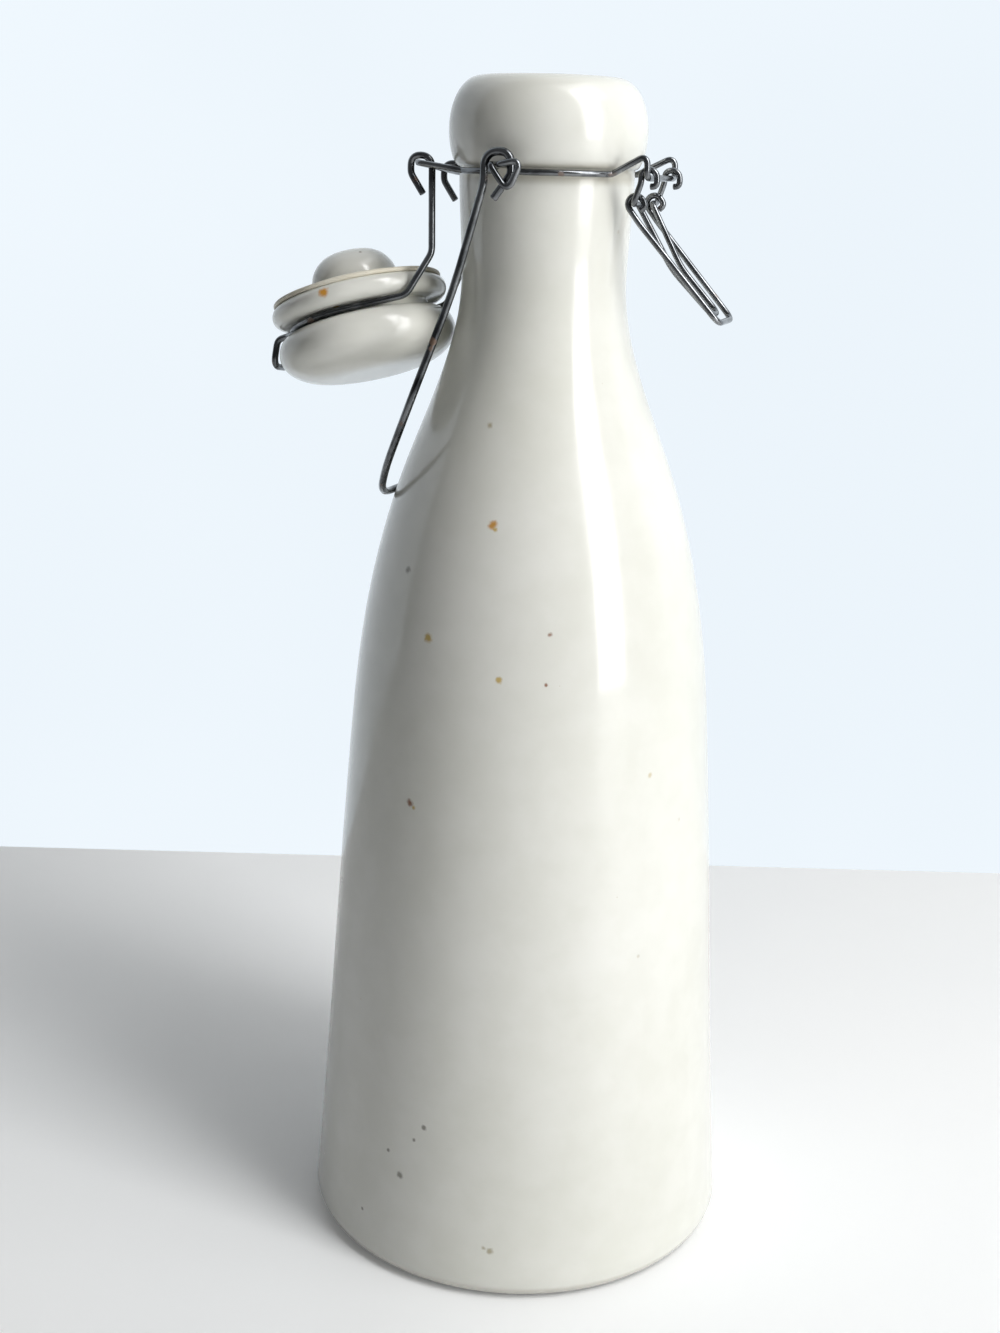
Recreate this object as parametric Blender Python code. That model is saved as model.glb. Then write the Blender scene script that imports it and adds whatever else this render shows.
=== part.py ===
"""A white ceramic milk bottle with a swing stopper, a wire carrying handle and a wire latch.

Metres, +Z up. The origin is the centre of the base, on the surface that the bottle stands on.
The stopper's hinge is at -X, the latch at +X, and the handle turns in eyelets at -Y and +Y.
It is modelled open, with the stopper hanging beside the neck.
"""
import math

import bpy
from mathutils import Matrix, Vector

MM = 0.001
GAP = 0.3 * MM

# Driving sizes of the bottle
BOTTLE_HEIGHT = 285.0 * MM
BASE_RADIUS = 53.8 * MM
BASE_EDGE_ROUND = 4.5 * MM
BODY_TOP_RADIUS = 44.1 * MM
BODY_TOP_DROP = 147.0 * MM
SHOULDER_RADIUS = 30.6 * MM
SHOULDER_DROP = 85.0 * MM
NECK_RADIUS = 19.4 * MM
NECK_DROP = 45.0 * MM
LIP_RADIUS = 22.9 * MM
LIP_HEIGHT = 20.8 * MM
LIP_WIDEST_DROP = 11.5 * MM
LIP_TOP_RADIUS = 15.8 * MM
GROOVE_STEP = 0.9 * MM
MOUTH_RADIUS = 13.4 * MM
MOUTH_ROUND = 2.1 * MM
MOUTH_LENGTH = 24.0 * MM
WALL = 4.6 * MM
FLOOR_THICKNESS = 6.5 * MM
BODY_SLOPE = -0.085
SHOULDER_SLOPE = -0.39
TURN_STEPS = 44

# Driving sizes of the stopper
GASKET_THICKNESS = 2.0 * MM
GASKET_RADIUS = 20.6 * MM
PLUG_CLEARANCE = 2.8 * MM
PLUG_LENGTH = 7.5 * MM
PLUG_ROUND = 7.0 * MM
FLANGE_RADIUS = 21.4 * MM
FLANGE_THICKNESS = 5.0 * MM
STOPPER_WAIST_RADIUS = 16.0 * MM
DOME_RADIUS = 21.6 * MM
DOME_EDGE_HEIGHT = 5.0 * MM
DOME_HEIGHT = 12.6 * MM
STOPPER_STEPS = 36

# Driving sizes of the wires
NECK_WIRE = 0.7 * MM
BAIL_WIRE = 0.8 * MM
HANDLE_WIRE = 0.9 * MM
LATCH_WIRE = 0.7 * MM
WIRE_SIDES_STEP = 2
BEND_STEP = math.radians(24.0)

# Where the wires turn
HINGE_REACH = 4.1 * MM
HINGE_RISE = 0.5 * MM
HINGE_TILT = math.radians(4.3)
HINGE_HALF_WIDTH = 14.0 * MM
BAIL_ARM_Y = 10.5 * MM
BAIL_ARM_INSET = 2.1 * MM
BAIL_ARM_LENGTH = 21.0 * MM
BAIL_TURN_X = 17.2 * MM
BAIL_TURN_Y = 12.5 * MM
BAIL_EYE_RADIUS = 2.6 * MM
BAIL_OPEN_ANGLE = math.radians(197.5)
TAB_REACH = 2.6 * MM
TAB_HALF_WIDTH = 4.0 * MM
TAB_RISE = 6.0 * MM
HANDLE_PIVOT_X = -3.0 * MM
HANDLE_EYE_RADIUS = 3.1 * MM
HANDLE_DROP = 77.4 * MM
HANDLE_WAIST_Y = 29.4 * MM
HANDLE_BOWED_Y = 26.2 * MM
HANDLE_WAIST_SHARE = 0.70
HANDLE_TURN_Y = 23.0 * MM
HANDLE_TURN_SHARE = 0.885
HANDLE_BOW = 4.8 * MM
HANDLE_CORNER_Y = 13.0 * MM
HANDLE_CORNER_ROUND = 10.0 * MM
EYELET_RISE = 1.4 * MM
EYELET_SPACING = 1.8 * MM
EYELET_DROP = 5.8 * MM
LATCH_REACH = 4.1 * MM
LATCH_DROP = 0.6 * MM
LATCH_RISE = 4.4 * MM
LATCH_BAR_HALF = 12.5 * MM
LEVER_EYE_RADIUS = 1.8 * MM
LEVER_ARM_Y = 10.4 * MM
LEVER_CRANK_IN = 3.4 * MM
LEVER_CRANK_DROP = 5.6 * MM
LEVER_CRANK_WIDTH = 4.2 * MM
LEVER_LENGTH = 29.5 * MM
LEVER_TIP_Y = 3.0 * MM
LEVER_ANGLE = math.radians(36.5)
LOOP_ANGLE = math.radians(38.5)
LOOP_LENGTH = 32.2 * MM
LOOP_TIP_Y = 7.0 * MM

# Places worked out from the sizes
BODY_TOP_Z = BOTTLE_HEIGHT - BODY_TOP_DROP
SHOULDER_Z = BOTTLE_HEIGHT - SHOULDER_DROP
NECK_Z = BOTTLE_HEIGHT - NECK_DROP
GROOVE_Z = BOTTLE_HEIGHT - LIP_HEIGHT
GROOVE_RADIUS = NECK_RADIUS + GROOVE_STEP
LIP_WIDEST_Z = BOTTLE_HEIGHT - LIP_WIDEST_DROP
RING_RADIUS = GROOVE_RADIUS + NECK_WIRE + GAP
HINGE_X = -(LIP_RADIUS + HINGE_REACH)
HINGE_Z = GROOVE_Z + HINGE_RISE
LATCH_X = LIP_RADIUS + LATCH_REACH
LATCH_Z = GROOVE_Z - LATCH_DROP
PLUG_RADIUS = MOUTH_RADIUS - PLUG_CLEARANCE
FLANGE_Z = BOTTLE_HEIGHT + GASKET_THICKNESS + 2.0 * GAP
FLANGE_TOP_Z = FLANGE_Z + FLANGE_THICKNESS
WAIST_HEIGHT = 2.0 * (BAIL_WIRE + GAP)
WIRE_Z = FLANGE_TOP_Z + 0.5 * WAIST_HEIGHT
DOME_Z = FLANGE_TOP_Z + WAIST_HEIGHT
HANDLE_Z = GROOVE_Z + EYELET_RISE
HANDLE_Y = LIP_RADIUS + 2.0 * MM + HANDLE_WIRE
EYELET_Y = HANDLE_Y + HANDLE_WIRE + NECK_WIRE + 1.0 * MM


def clear_scene():
    """Removes what the scene holds, so that the file can be run again."""
    for item in list(bpy.data.objects):
        bpy.data.objects.remove(item, do_unlink=True)


def material(name, colour, roughness, metallic):
    """A Principled material of one colour."""
    made = bpy.data.materials.new(name)
    made.use_nodes = True
    shader = made.node_tree.nodes["Principled BSDF"]
    shader.inputs["Base Color"].default_value = (*colour, 1.0)
    shader.inputs["Roughness"].default_value = roughness
    shader.inputs["Metallic"].default_value = metallic
    return made


def add_object(name, data, finish):
    """Puts mesh or curve data into the scene as one named object."""
    made = bpy.data.objects.new(name, data)
    bpy.context.scene.collection.objects.link(made)
    data.materials.append(finish)
    return made


def hermite(start, end, slope_start, slope_end, steps):
    """Points (radius, z) on a smooth curve between two heights, without the last."""
    span = end[1] - start[1]
    points = []
    for step in range(steps):
        t = step / steps
        blend = 3 * t**2 - 2 * t**3
        radius = start[0] + (end[0] - start[0]) * blend
        radius += slope_start * span * (t**3 - 2 * t**2 + t)
        radius += slope_end * span * (t**3 - t**2)
        points.append((radius, start[1] + span * t))
    return points


def quarter(centre, size, first, last, steps):
    """Points (radius, z) on an ellipse from one angle to another, in degrees."""
    points = []
    for step in range(steps + 1):
        angle = math.radians(first + (last - first) * step / steps)
        points.append((centre[0] + size[0] * math.cos(angle), centre[1] + size[1] * math.sin(angle)))
    return points


def turned(name, outline, steps, finish, placing=None):
    """A closed body turned about Z from an outline that runs up the outside and down the inside."""
    verts = []
    rings = []
    for radius, height in outline:
        if radius < 1e-7:
            rings.append([len(verts)])
            verts.append((0.0, 0.0, height))
            continue
        rings.append(list(range(len(verts), len(verts) + steps)))
        for step in range(steps):
            angle = 2 * math.pi * step / steps
            verts.append((radius * math.cos(angle), radius * math.sin(angle), height))
    faces = []
    closed = len(rings[0]) > 1
    pairs = list(zip(rings, rings[1:] + rings[:1] if closed else rings[1:]))
    for lower, upper in pairs:
        for step in range(steps):
            after = (step + 1) % steps
            if len(lower) == 1:
                faces.append((lower[0], upper[after], upper[step]))
            elif len(upper) == 1:
                faces.append((lower[step], lower[after], upper[0]))
            else:
                faces.append((lower[step], lower[after], upper[after], upper[step]))
    mesh = bpy.data.meshes.new(name)
    mesh.from_pydata(verts, [], faces)
    mesh.update()
    if placing is not None:
        mesh.transform(placing)
    mesh.shade_smooth()
    mesh.set_sharp_from_angle(angle=math.radians(40.0))
    return add_object(name, mesh, finish)


def rounded(corners, cyclic=False):
    """Turns corners (point, bend radius) into points, with an arc at each bend."""
    count = len(corners)
    points = []
    for index, (corner, radius) in enumerate(corners):
        corner = Vector(corner)
        at_end = not cyclic and index in (0, count - 1)
        before = Vector(corners[(index - 1) % count][0]) - corner
        after = Vector(corners[(index + 1) % count][0]) - corner
        if at_end or radius == 0.0:
            points.append(corner)
            continue
        turn = math.pi - before.angle(after)
        reach = radius * math.tan(turn / 2)
        reach = min(reach, 0.49 * before.length, 0.49 * after.length)
        true_radius = reach / math.tan(turn / 2)
        first = corner + before.normalized() * reach
        last = corner + after.normalized() * reach
        inward = (before.normalized() + after.normalized()).normalized()
        centre = corner + inward * (true_radius / math.cos(turn / 2))
        steps = max(1, math.ceil(turn / BEND_STEP))
        axis = (first - centre).cross(last - centre).normalized()
        for step in range(steps + 1):
            spin = Matrix.Rotation(turn * step / steps, 3, axis)
            points.append(centre + spin @ (first - centre))
    return points


def wire(name, points, radius, finish, pivot, cyclic=False):
    """A round wire along the points, with its origin at the pivot that it turns on."""
    curve = bpy.data.curves.new(name, "CURVE")
    curve.dimensions = "3D"
    curve.bevel_depth = radius
    curve.bevel_resolution = WIRE_SIDES_STEP
    curve.use_fill_caps = True
    spline = curve.splines.new("POLY")
    spline.points.add(len(points) - 1)
    for spot, point in zip(spline.points, points):
        spot.co = (*(Vector(point) - Vector(pivot)), 1.0)
    spline.use_cyclic_u = cyclic
    made = add_object(name, curve, finish)
    made.location = pivot
    return made


def hinge_axis():
    """The direction of the hinge bar, which is bent a little out of level."""
    return Vector((0.0, math.cos(HINGE_TILT), -math.sin(HINGE_TILT)))


def hinge_height(y):
    """The height of the middle of the hinge bar at a place along it."""
    return HINGE_Z - y * math.tan(HINGE_TILT)


def open_placing():
    """The transform that swings the stopper from the mouth to where it hangs."""
    hinge = Vector((HINGE_X, 0.0, HINGE_Z))
    spin = Matrix.Rotation(-BAIL_OPEN_ANGLE, 4, hinge_axis())
    return Matrix.Translation(hinge) @ spin @ Matrix.Translation(-hinge)


def opened(point):
    """Takes a point of the stopper from where it seals the mouth to where it hangs open."""
    return open_placing() @ Vector(point)


def outer_outline():
    """The bottle's outside, from the foot to the top of the lip."""
    edge = BASE_EDGE_ROUND
    foot = quarter((BASE_RADIUS - edge, edge), (edge, edge), -90, -10, 4)
    body = hermite(foot[-1], (BODY_TOP_RADIUS, BODY_TOP_Z), BODY_SLOPE, BODY_SLOPE, 6)[1:]
    top = (BODY_TOP_RADIUS, BODY_TOP_Z)
    shoulder = (SHOULDER_RADIUS, SHOULDER_Z)
    neck = (NECK_RADIUS, NECK_Z)
    groove = (GROOVE_RADIUS, GROOVE_Z)
    points = foot + body
    points += hermite(top, shoulder, BODY_SLOPE, SHOULDER_SLOPE, 7)
    points += hermite(shoulder, neck, SHOULDER_SLOPE, 0.0, 6)
    points += hermite(neck, groove, 0.0, 0.0, 4)
    under = (LIP_RADIUS - GROOVE_RADIUS, LIP_WIDEST_Z - GROOVE_Z - NECK_WIRE - GAP)
    over = (LIP_RADIUS - LIP_TOP_RADIUS, BOTTLE_HEIGHT - LIP_WIDEST_Z)
    points += quarter((GROOVE_RADIUS, LIP_WIDEST_Z), under, -90, 0, 5)[:-1]
    points += quarter((LIP_TOP_RADIUS, LIP_WIDEST_Z), over, 0, 90, 6)
    return points


def inner_outline():
    """The bottle's inside, from the mouth down to the floor."""
    edge = MOUTH_ROUND
    points = quarter((MOUTH_RADIUS + edge, BOTTLE_HEIGHT - edge), (edge, edge), 90, 180, 4)
    mouth_end = (MOUTH_RADIUS, BOTTLE_HEIGHT - MOUTH_LENGTH)
    neck = (NECK_RADIUS - WALL, mouth_end[1] - 12.0 * MM)
    shoulder = (SHOULDER_RADIUS - WALL, SHOULDER_Z)
    body = (BODY_TOP_RADIUS - WALL, BODY_TOP_Z)
    points += hermite(mouth_end, neck, 0.0, 0.0, 3)
    points += hermite(neck, shoulder, 0.0, SHOULDER_SLOPE, 6)
    points += hermite(shoulder, body, SHOULDER_SLOPE, BODY_SLOPE, 6)
    round_in = 7.0 * MM
    low = (BASE_RADIUS - WALL, FLOOR_THICKNESS + round_in)
    points += hermite(body, low, BODY_SLOPE, BODY_SLOPE, 4)
    points += quarter((low[0] - round_in, low[1]), (round_in, round_in), 0, -90, 3)
    points.append((0.0, FLOOR_THICKNESS))
    return points


def bottle_body(finish):
    """The ceramic bottle: one turned wall with an open mouth and a flat foot."""
    outline = [(0.0, 0.0)] + outer_outline() + inner_outline()
    return turned("bottle_body", outline, TURN_STEPS, finish)


def neck_eyelet(side):
    """Corners of one eyelet that the handle hangs in, from the hinge side to the latch side."""
    near = HANDLE_PIVOT_X - 0.5 * EYELET_SPACING
    far = HANDLE_PIVOT_X + 0.5 * EYELET_SPACING
    inner = RING_RADIUS + 1.0 * MM
    corners = [
        ((near, side * inner, HANDLE_Z), 0.8 * MM),
        ((near, side * EYELET_Y, HANDLE_Z), 0.8 * MM),
        ((HANDLE_PIVOT_X + 3.4 * MM, side * EYELET_Y, HANDLE_Z - EYELET_DROP), 1.2 * MM),
        ((HANDLE_PIVOT_X + 6.4 * MM, side * EYELET_Y, HANDLE_Z + 1.2 * MM), 1.0 * MM),
        ((far, side * EYELET_Y, HANDLE_Z), 0.8 * MM),
        ((far, side * inner, HANDLE_Z), 0.8 * MM),
    ]
    return corners


def neck_arc(first, last, steps):
    """Corners on the wire ring round the neck, from one angle to another, in degrees."""
    corners = []
    for step in range(steps + 1):
        angle = math.radians(first + (last - first) * step / steps)
        place = (RING_RADIUS * math.cos(angle), RING_RADIUS * math.sin(angle), GROOVE_Z)
        corners.append((place, 0.0))
    return corners


def neck_wire(finish):
    """The wire round the neck, bent into a hinge bar, two handle eyelets and a latch bar."""
    corners = [
        ((HINGE_X, HINGE_HALF_WIDTH, hinge_height(HINGE_HALF_WIDTH)), 2.0 * MM),
        ((HINGE_X, -HINGE_HALF_WIDTH, hinge_height(-HINGE_HALF_WIDTH)), 2.0 * MM),
    ]
    corners += neck_arc(-135, -108, 2)
    corners += neck_eyelet(-1)
    corners += neck_arc(-88, -30, 4)
    high = GROOVE_Z + LATCH_RISE
    corners += [
        ((LATCH_X, -LATCH_BAR_HALF, high), 1.2 * MM),
        ((LATCH_X, -LATCH_BAR_HALF, LATCH_Z), 1.2 * MM),
        ((LATCH_X, LATCH_BAR_HALF, LATCH_Z), 1.2 * MM),
        ((LATCH_X, LATCH_BAR_HALF, high), 1.2 * MM),
    ]
    corners += neck_arc(30, 88, 4)
    corners += list(reversed(neck_eyelet(1)))
    corners += neck_arc(108, 135, 2)
    points = rounded(corners, cyclic=True)
    return wire("neck_wire", points, NECK_WIRE, finish, (0.0, 0.0, GROOVE_Z), cyclic=True)


def stopper_outline():
    """The stopper's outline in the sealed pose: plug, flange, waist and domed cap."""
    below = BOTTLE_HEIGHT + GAP
    rim = 0.5 * FLANGE_THICKNESS
    points = [(0.0, below - PLUG_LENGTH)]
    plug_round = (PLUG_ROUND, PLUG_LENGTH)
    points += quarter((PLUG_RADIUS - PLUG_ROUND, below), plug_round, -80, 0, 5)
    points.append((PLUG_RADIUS, FLANGE_Z))
    points += quarter((FLANGE_RADIUS - rim, FLANGE_Z + rim), (rim, rim), -90, 90, 6)
    points.append((STOPPER_WAIST_RADIUS, FLANGE_TOP_Z))
    points.append((STOPPER_WAIST_RADIUS, DOME_Z))
    edge = DOME_EDGE_HEIGHT
    widest = DOME_Z + edge
    points += quarter((DOME_RADIUS - 4.2 * MM, widest), (4.2 * MM, edge), -90, 0, 4)
    crown = DOME_HEIGHT - edge
    points += quarter((DOME_RADIUS - 13.0 * MM, widest), (13.0 * MM, crown), 12, 90, 6)
    points.append((0.0, DOME_Z + DOME_HEIGHT))
    return points


def set_origin(made, place):
    """Moves an object's origin without moving its mesh."""
    made.data.transform(Matrix.Translation(-Vector(place)))
    made.location = place


def stopper(finish):
    """The ceramic stopper, hanging open with its plug up."""
    made = turned("stopper_head", stopper_outline(), STOPPER_STEPS, finish, open_placing())
    set_origin(made, opened((0.0, 0.0, WIRE_Z)))
    return made


def gasket(finish):
    """The flat sealing ring on the plug, against the flange."""
    inner = PLUG_RADIUS + GAP
    low = FLANGE_Z - GAP - GASKET_THICKNESS
    high = FLANGE_Z - GAP
    bevel = 0.4 * MM
    outline = [
        (inner, high),
        (inner, low),
        (GASKET_RADIUS - bevel, low),
        (GASKET_RADIUS, low + bevel),
        (GASKET_RADIUS, high - bevel),
        (GASKET_RADIUS - bevel, high),
    ]
    made = turned("gasket", outline, STOPPER_STEPS, finish, open_placing())
    set_origin(made, opened((0.0, 0.0, WIRE_Z)))
    return made


def bail_side(side):
    """Corners of one side of the stopper's wire, from its eye on the hinge bar to its tab."""
    y = side * BAIL_ARM_Y
    eye = BAIL_EYE_RADIUS
    bar = hinge_height(y)
    top = bar + NECK_WIRE + BAIL_WIRE + GAP
    corners = [
        ((HINGE_X + 0.4 * MM, y, bar - 6.6 * MM), 0.0),
        ((HINGE_X - eye, y, bar - 2.2 * MM), 1.6 * MM),
        ((HINGE_X - eye, y, top), eye),
        ((HINGE_X + eye, y, top), eye),
        (opened((HINGE_X + BAIL_ARM_INSET, y, HINGE_Z + BAIL_ARM_LENGTH)), 4.0 * MM),
        (opened((-BAIL_TURN_X, side * BAIL_TURN_Y, WIRE_Z)), 3.0 * MM),
    ]
    ring = STOPPER_WAIST_RADIUS + GAP + BAIL_WIRE
    for angle in (105, 88, 71, 54, 37, 20):
        around = math.radians(angle)
        place = (ring * math.cos(around), side * ring * math.sin(around), WIRE_Z)
        corners.append((opened(place), 0.0))
    out = DOME_RADIUS
    tip = DOME_RADIUS + TAB_REACH
    corners.append((opened((ring + 1.5 * MM, side * TAB_HALF_WIDTH, WIRE_Z)), 1.5 * MM))
    corners.append((opened((out, side * TAB_HALF_WIDTH, WIRE_Z)), 1.8 * MM))
    corners.append((opened((tip, side * TAB_HALF_WIDTH, WIRE_Z + TAB_RISE)), 2.4 * MM))
    return corners


def stopper_bail(finish):
    """The wire that holds the stopper by its waist and swings on the hinge bar."""
    corners = bail_side(-1) + list(reversed(bail_side(1)))
    pivot = (HINGE_X, 0.0, HINGE_Z)
    return wire("stopper_bail", rounded(corners), BAIL_WIRE, finish, pivot)


def handle_bottom_x():
    """How far out the handle's bottom lies, a gap clear of the shoulder."""
    level = HANDLE_Z - HANDLE_DROP
    widest = 0.0
    outline = outer_outline()
    reach = HANDLE_WIRE + GAP
    for lower, upper in zip(outline, outline[1:]):
        for step in range(9):
            t = step / 8
            radius = lower[0] + (upper[0] - lower[0]) * t
            height = lower[1] + (upper[1] - lower[1]) * t
            rise = abs(height - level)
            if rise < reach:
                widest = max(widest, radius + math.sqrt(reach**2 - rise**2))
    return -widest


def handle_side(side):
    """Corners of one side of the handle, from the end of its eye to its bottom corner."""
    y = side * HANDLE_Y
    eye = HANDLE_EYE_RADIUS
    x = HANDLE_PIVOT_X
    z = HANDLE_Z
    top = z + 0.5 * EYELET_SPACING + NECK_WIRE + HANDLE_WIRE + GAP
    bottom_x = handle_bottom_x()
    waist_x = x - eye + HANDLE_WAIST_SHARE * (bottom_x - x + eye) + HANDLE_BOW
    waist_z = z - HANDLE_WAIST_SHARE * HANDLE_DROP
    bowed_x = x - eye + 0.35 * (bottom_x - x + eye) + 0.8 * HANDLE_BOW
    bowed_z = z - 0.35 * HANDLE_DROP
    turn_x = x - eye + HANDLE_TURN_SHARE * (bottom_x - x + eye) + 0.5 * HANDLE_BOW
    turn_z = z - HANDLE_TURN_SHARE * HANDLE_DROP
    return [
        ((x - 0.7 * MM, y, z - 7.0 * MM), 0.0),
        ((x + eye, y, z - 2.0 * MM), 1.8 * MM),
        ((x + eye, y, top), eye),
        ((x - eye, y, top), eye),
        ((x - eye, y, z - 4.0 * MM), 9.0 * MM),
        ((bowed_x, side * HANDLE_BOWED_Y, bowed_z), 60.0 * MM),
        ((waist_x, side * HANDLE_WAIST_Y, waist_z), 14.0 * MM),
        ((turn_x, side * HANDLE_TURN_Y, turn_z), 14.0 * MM),
        ((bottom_x, side * HANDLE_CORNER_Y, z - HANDLE_DROP), HANDLE_CORNER_ROUND),
    ]


def carry_handle(finish):
    """The long wire handle, hanging behind the stopper with its bottom on the shoulder."""
    corners = handle_side(-1) + list(reversed(handle_side(1)))
    pivot = (HANDLE_PIVOT_X, 0.0, HANDLE_Z)
    return wire("carry_handle", rounded(corners), HANDLE_WIRE, finish, pivot)


def crank_place():
    """The line along Y, through this point, that the latch's pull loop turns on."""
    return (LATCH_X - LEVER_CRANK_IN, 0.0, LATCH_Z - LEVER_CRANK_DROP)


def lever_side(side):
    """Corners of one side of the latch lever, from its eye on the latch bar to its tip."""
    y = side * LEVER_ARM_Y
    eye = LEVER_EYE_RADIUS
    crank = crank_place()
    inner = side * (LEVER_ARM_Y - LEVER_CRANK_WIDTH)
    tip_x = crank[0] + LEVER_LENGTH * math.sin(LEVER_ANGLE)
    tip_z = crank[2] - LEVER_LENGTH * math.cos(LEVER_ANGLE)
    bow_x = crank[0] + 0.55 * (tip_x - crank[0]) - 1.6 * MM
    bow_z = crank[2] + 0.55 * (tip_z - crank[2]) - 0.9 * MM
    bow_y = inner + 0.55 * (side * LEVER_TIP_Y - inner)
    return [
        ((LATCH_X + 0.5 * MM, y, LATCH_Z - eye), 0.0),
        ((LATCH_X + eye, y, LATCH_Z - eye), 1.2 * MM),
        ((LATCH_X + eye, y, LATCH_Z + eye), eye),
        ((LATCH_X - eye, y, LATCH_Z + eye), eye),
        ((LATCH_X - eye, y, LATCH_Z - 1.0 * MM), 1.5 * MM),
        ((crank[0], y, crank[2]), 0.8 * MM),
        ((crank[0], inner, crank[2]), 0.8 * MM),
        ((bow_x, bow_y, bow_z), 20.0 * MM),
        ((tip_x, side * LEVER_TIP_Y, tip_z), 2.2 * MM),
    ]


def latch_lever(finish):
    """The lever that swings on the latch bar and carries the pull loop on its crank."""
    corners = lever_side(-1) + list(reversed(lever_side(1)))
    return wire("latch_lever", rounded(corners), LATCH_WIRE, finish, (LATCH_X, 0.0, LATCH_Z))


def loop_side(side):
    """Corners of one side of the pull loop, from its eye on the crank to its closed end."""
    crank = Vector(crank_place())
    along = Vector((math.sin(LOOP_ANGLE), 0.0, -math.cos(LOOP_ANGLE)))
    across = Vector((math.cos(LOOP_ANGLE), 0.0, math.sin(LOOP_ANGLE)))
    eye = LEVER_EYE_RADIUS
    y = Vector((0.0, side * (LEVER_ARM_Y - 0.5 * LEVER_CRANK_WIDTH), 0.0))
    start = crank + y
    return [
        (start + along * eye + across * 0.2 * MM, 0.0),
        (start + along * eye + across * eye, 1.2 * MM),
        (start - along * eye + across * eye, eye),
        (start - along * eye - across * eye, eye),
        (start + along * 4.0 * MM - across * eye, 6.0 * MM),
        (crank + along * LOOP_LENGTH + Vector((0.0, side * LOOP_TIP_Y, 0.0)), 2.4 * MM),
    ]


def latch_pull_loop(finish):
    """The loop that hooks over the stopper's tab and is drawn down by the lever."""
    corners = loop_side(-1) + list(reversed(loop_side(1)))
    return wire("latch_pull_loop", rounded(corners), LATCH_WIRE, finish, crank_place())


def main():
    """Builds every piece of the bottle."""
    clear_scene()
    glaze = material("white_glaze", (0.86, 0.86, 0.82), 0.12, 0.0)
    seal = material("cream_rubber", (0.78, 0.72, 0.58), 0.55, 0.0)
    steel = material("steel_wire", (0.35, 0.36, 0.37), 0.25, 1.0)
    bottle_body(glaze)
    neck_wire(steel)
    stopper(glaze)
    gasket(seal)
    stopper_bail(steel)
    carry_handle(steel)
    latch_lever(steel)
    latch_pull_loop(steel)


main()
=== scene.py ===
"""A white glazed milk bottle with a swing stopper, a wire latch and a long wire handle.

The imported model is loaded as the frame. Each sub-assembly is a class that holds its sizes, builds
the fine surface of its pieces over the frame and dresses them. Lengths are in metres.
"""
import logging
import math
from collections.abc import Callable, Sequence
from dataclasses import dataclass
from enum import Enum
from functools import cached_property

import bpy
from mathutils import Matrix, Vector

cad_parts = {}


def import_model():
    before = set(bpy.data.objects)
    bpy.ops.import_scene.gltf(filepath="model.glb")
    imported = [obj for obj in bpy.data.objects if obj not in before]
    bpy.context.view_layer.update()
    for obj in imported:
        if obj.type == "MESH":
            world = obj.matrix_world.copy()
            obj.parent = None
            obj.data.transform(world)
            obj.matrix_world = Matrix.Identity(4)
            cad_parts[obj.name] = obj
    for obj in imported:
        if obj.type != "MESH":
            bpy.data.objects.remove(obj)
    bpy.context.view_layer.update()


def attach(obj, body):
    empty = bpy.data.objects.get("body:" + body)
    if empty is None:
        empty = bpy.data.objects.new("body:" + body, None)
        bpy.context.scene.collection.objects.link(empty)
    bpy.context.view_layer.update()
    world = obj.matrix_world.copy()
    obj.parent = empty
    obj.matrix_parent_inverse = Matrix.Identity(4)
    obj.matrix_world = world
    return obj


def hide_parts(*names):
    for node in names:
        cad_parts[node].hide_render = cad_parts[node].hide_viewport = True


LOG = logging.getLogger("bottle")
MM = 0.001
GAP = 0.3 * MM

Point2 = tuple[float, float]
Point3 = tuple[float, float, float]
Colour = tuple[float, float, float]
Corner = tuple[Vector, float]
Socket = bpy.types.NodeSocket
Feeds = dict[str | int, object]

# How finely wires are drawn. A bend takes up at most LEG_SHARE of the leg beside it, and a clipped
# end bulges by shares of the wire's radius while it narrows.
WIRE_SIDES = 20
WIRE_SPACING = 0.45 * MM
WIRE_SOFTENINGS = 2
BEND_STEP = math.radians(7.0)
LEG_SHARE = 0.49
CLIPPED_END = ((0.12, 0.97), (0.24, 0.82), (0.30, 0.5))

# Within this distance of its middle line, turned clay wavers less
STEADY_RADIUS = 10.0 * MM


class WireGauge(Enum):
    """The radius of each wire on the bottle."""

    NECK = 0.7 * MM
    LATCH = 0.7 * MM
    BAIL = 0.8 * MM
    HANDLE = 0.9 * MM


def hermite(start: Point2, end: Point2, slopes: Point2, steps: int) -> list[Point2]:
    """Samples a smooth curve of radius against height.

    Args:
        start: First radius and height.
        end: Last radius and height, which is left out.
        slopes: Change of radius with height at the start and at the end.
        steps: Number of points.

    Returns:
        The points as (radius, height).
    """
    span = end[1] - start[1]
    points = []
    for step in range(steps):
        t = step / steps
        radius = start[0] + (end[0] - start[0]) * (3 * t**2 - 2 * t**3)
        radius += slopes[0] * span * (t**3 - 2 * t**2 + t)
        radius += slopes[1] * span * (t**3 - t**2)
        points.append((radius, start[1] + span * t))
    return points


def ellipse_arc(centre: Point2, size: Point2, angles: Point2, steps: int) -> list[Point2]:
    """Samples part of an ellipse.

    Args:
        centre: Radius and height of the middle.
        size: Half width and half height.
        angles: First and last angle in degrees.
        steps: Number of spans.

    Returns:
        The points as (radius, height), both ends included.
    """
    points = []
    for step in range(steps + 1):
        angle = math.radians(angles[0] + (angles[1] - angles[0]) * step / steps)
        points.append((centre[0] + size[0] * math.cos(angle), centre[1] + size[1] * math.sin(angle)))
    return points


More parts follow.
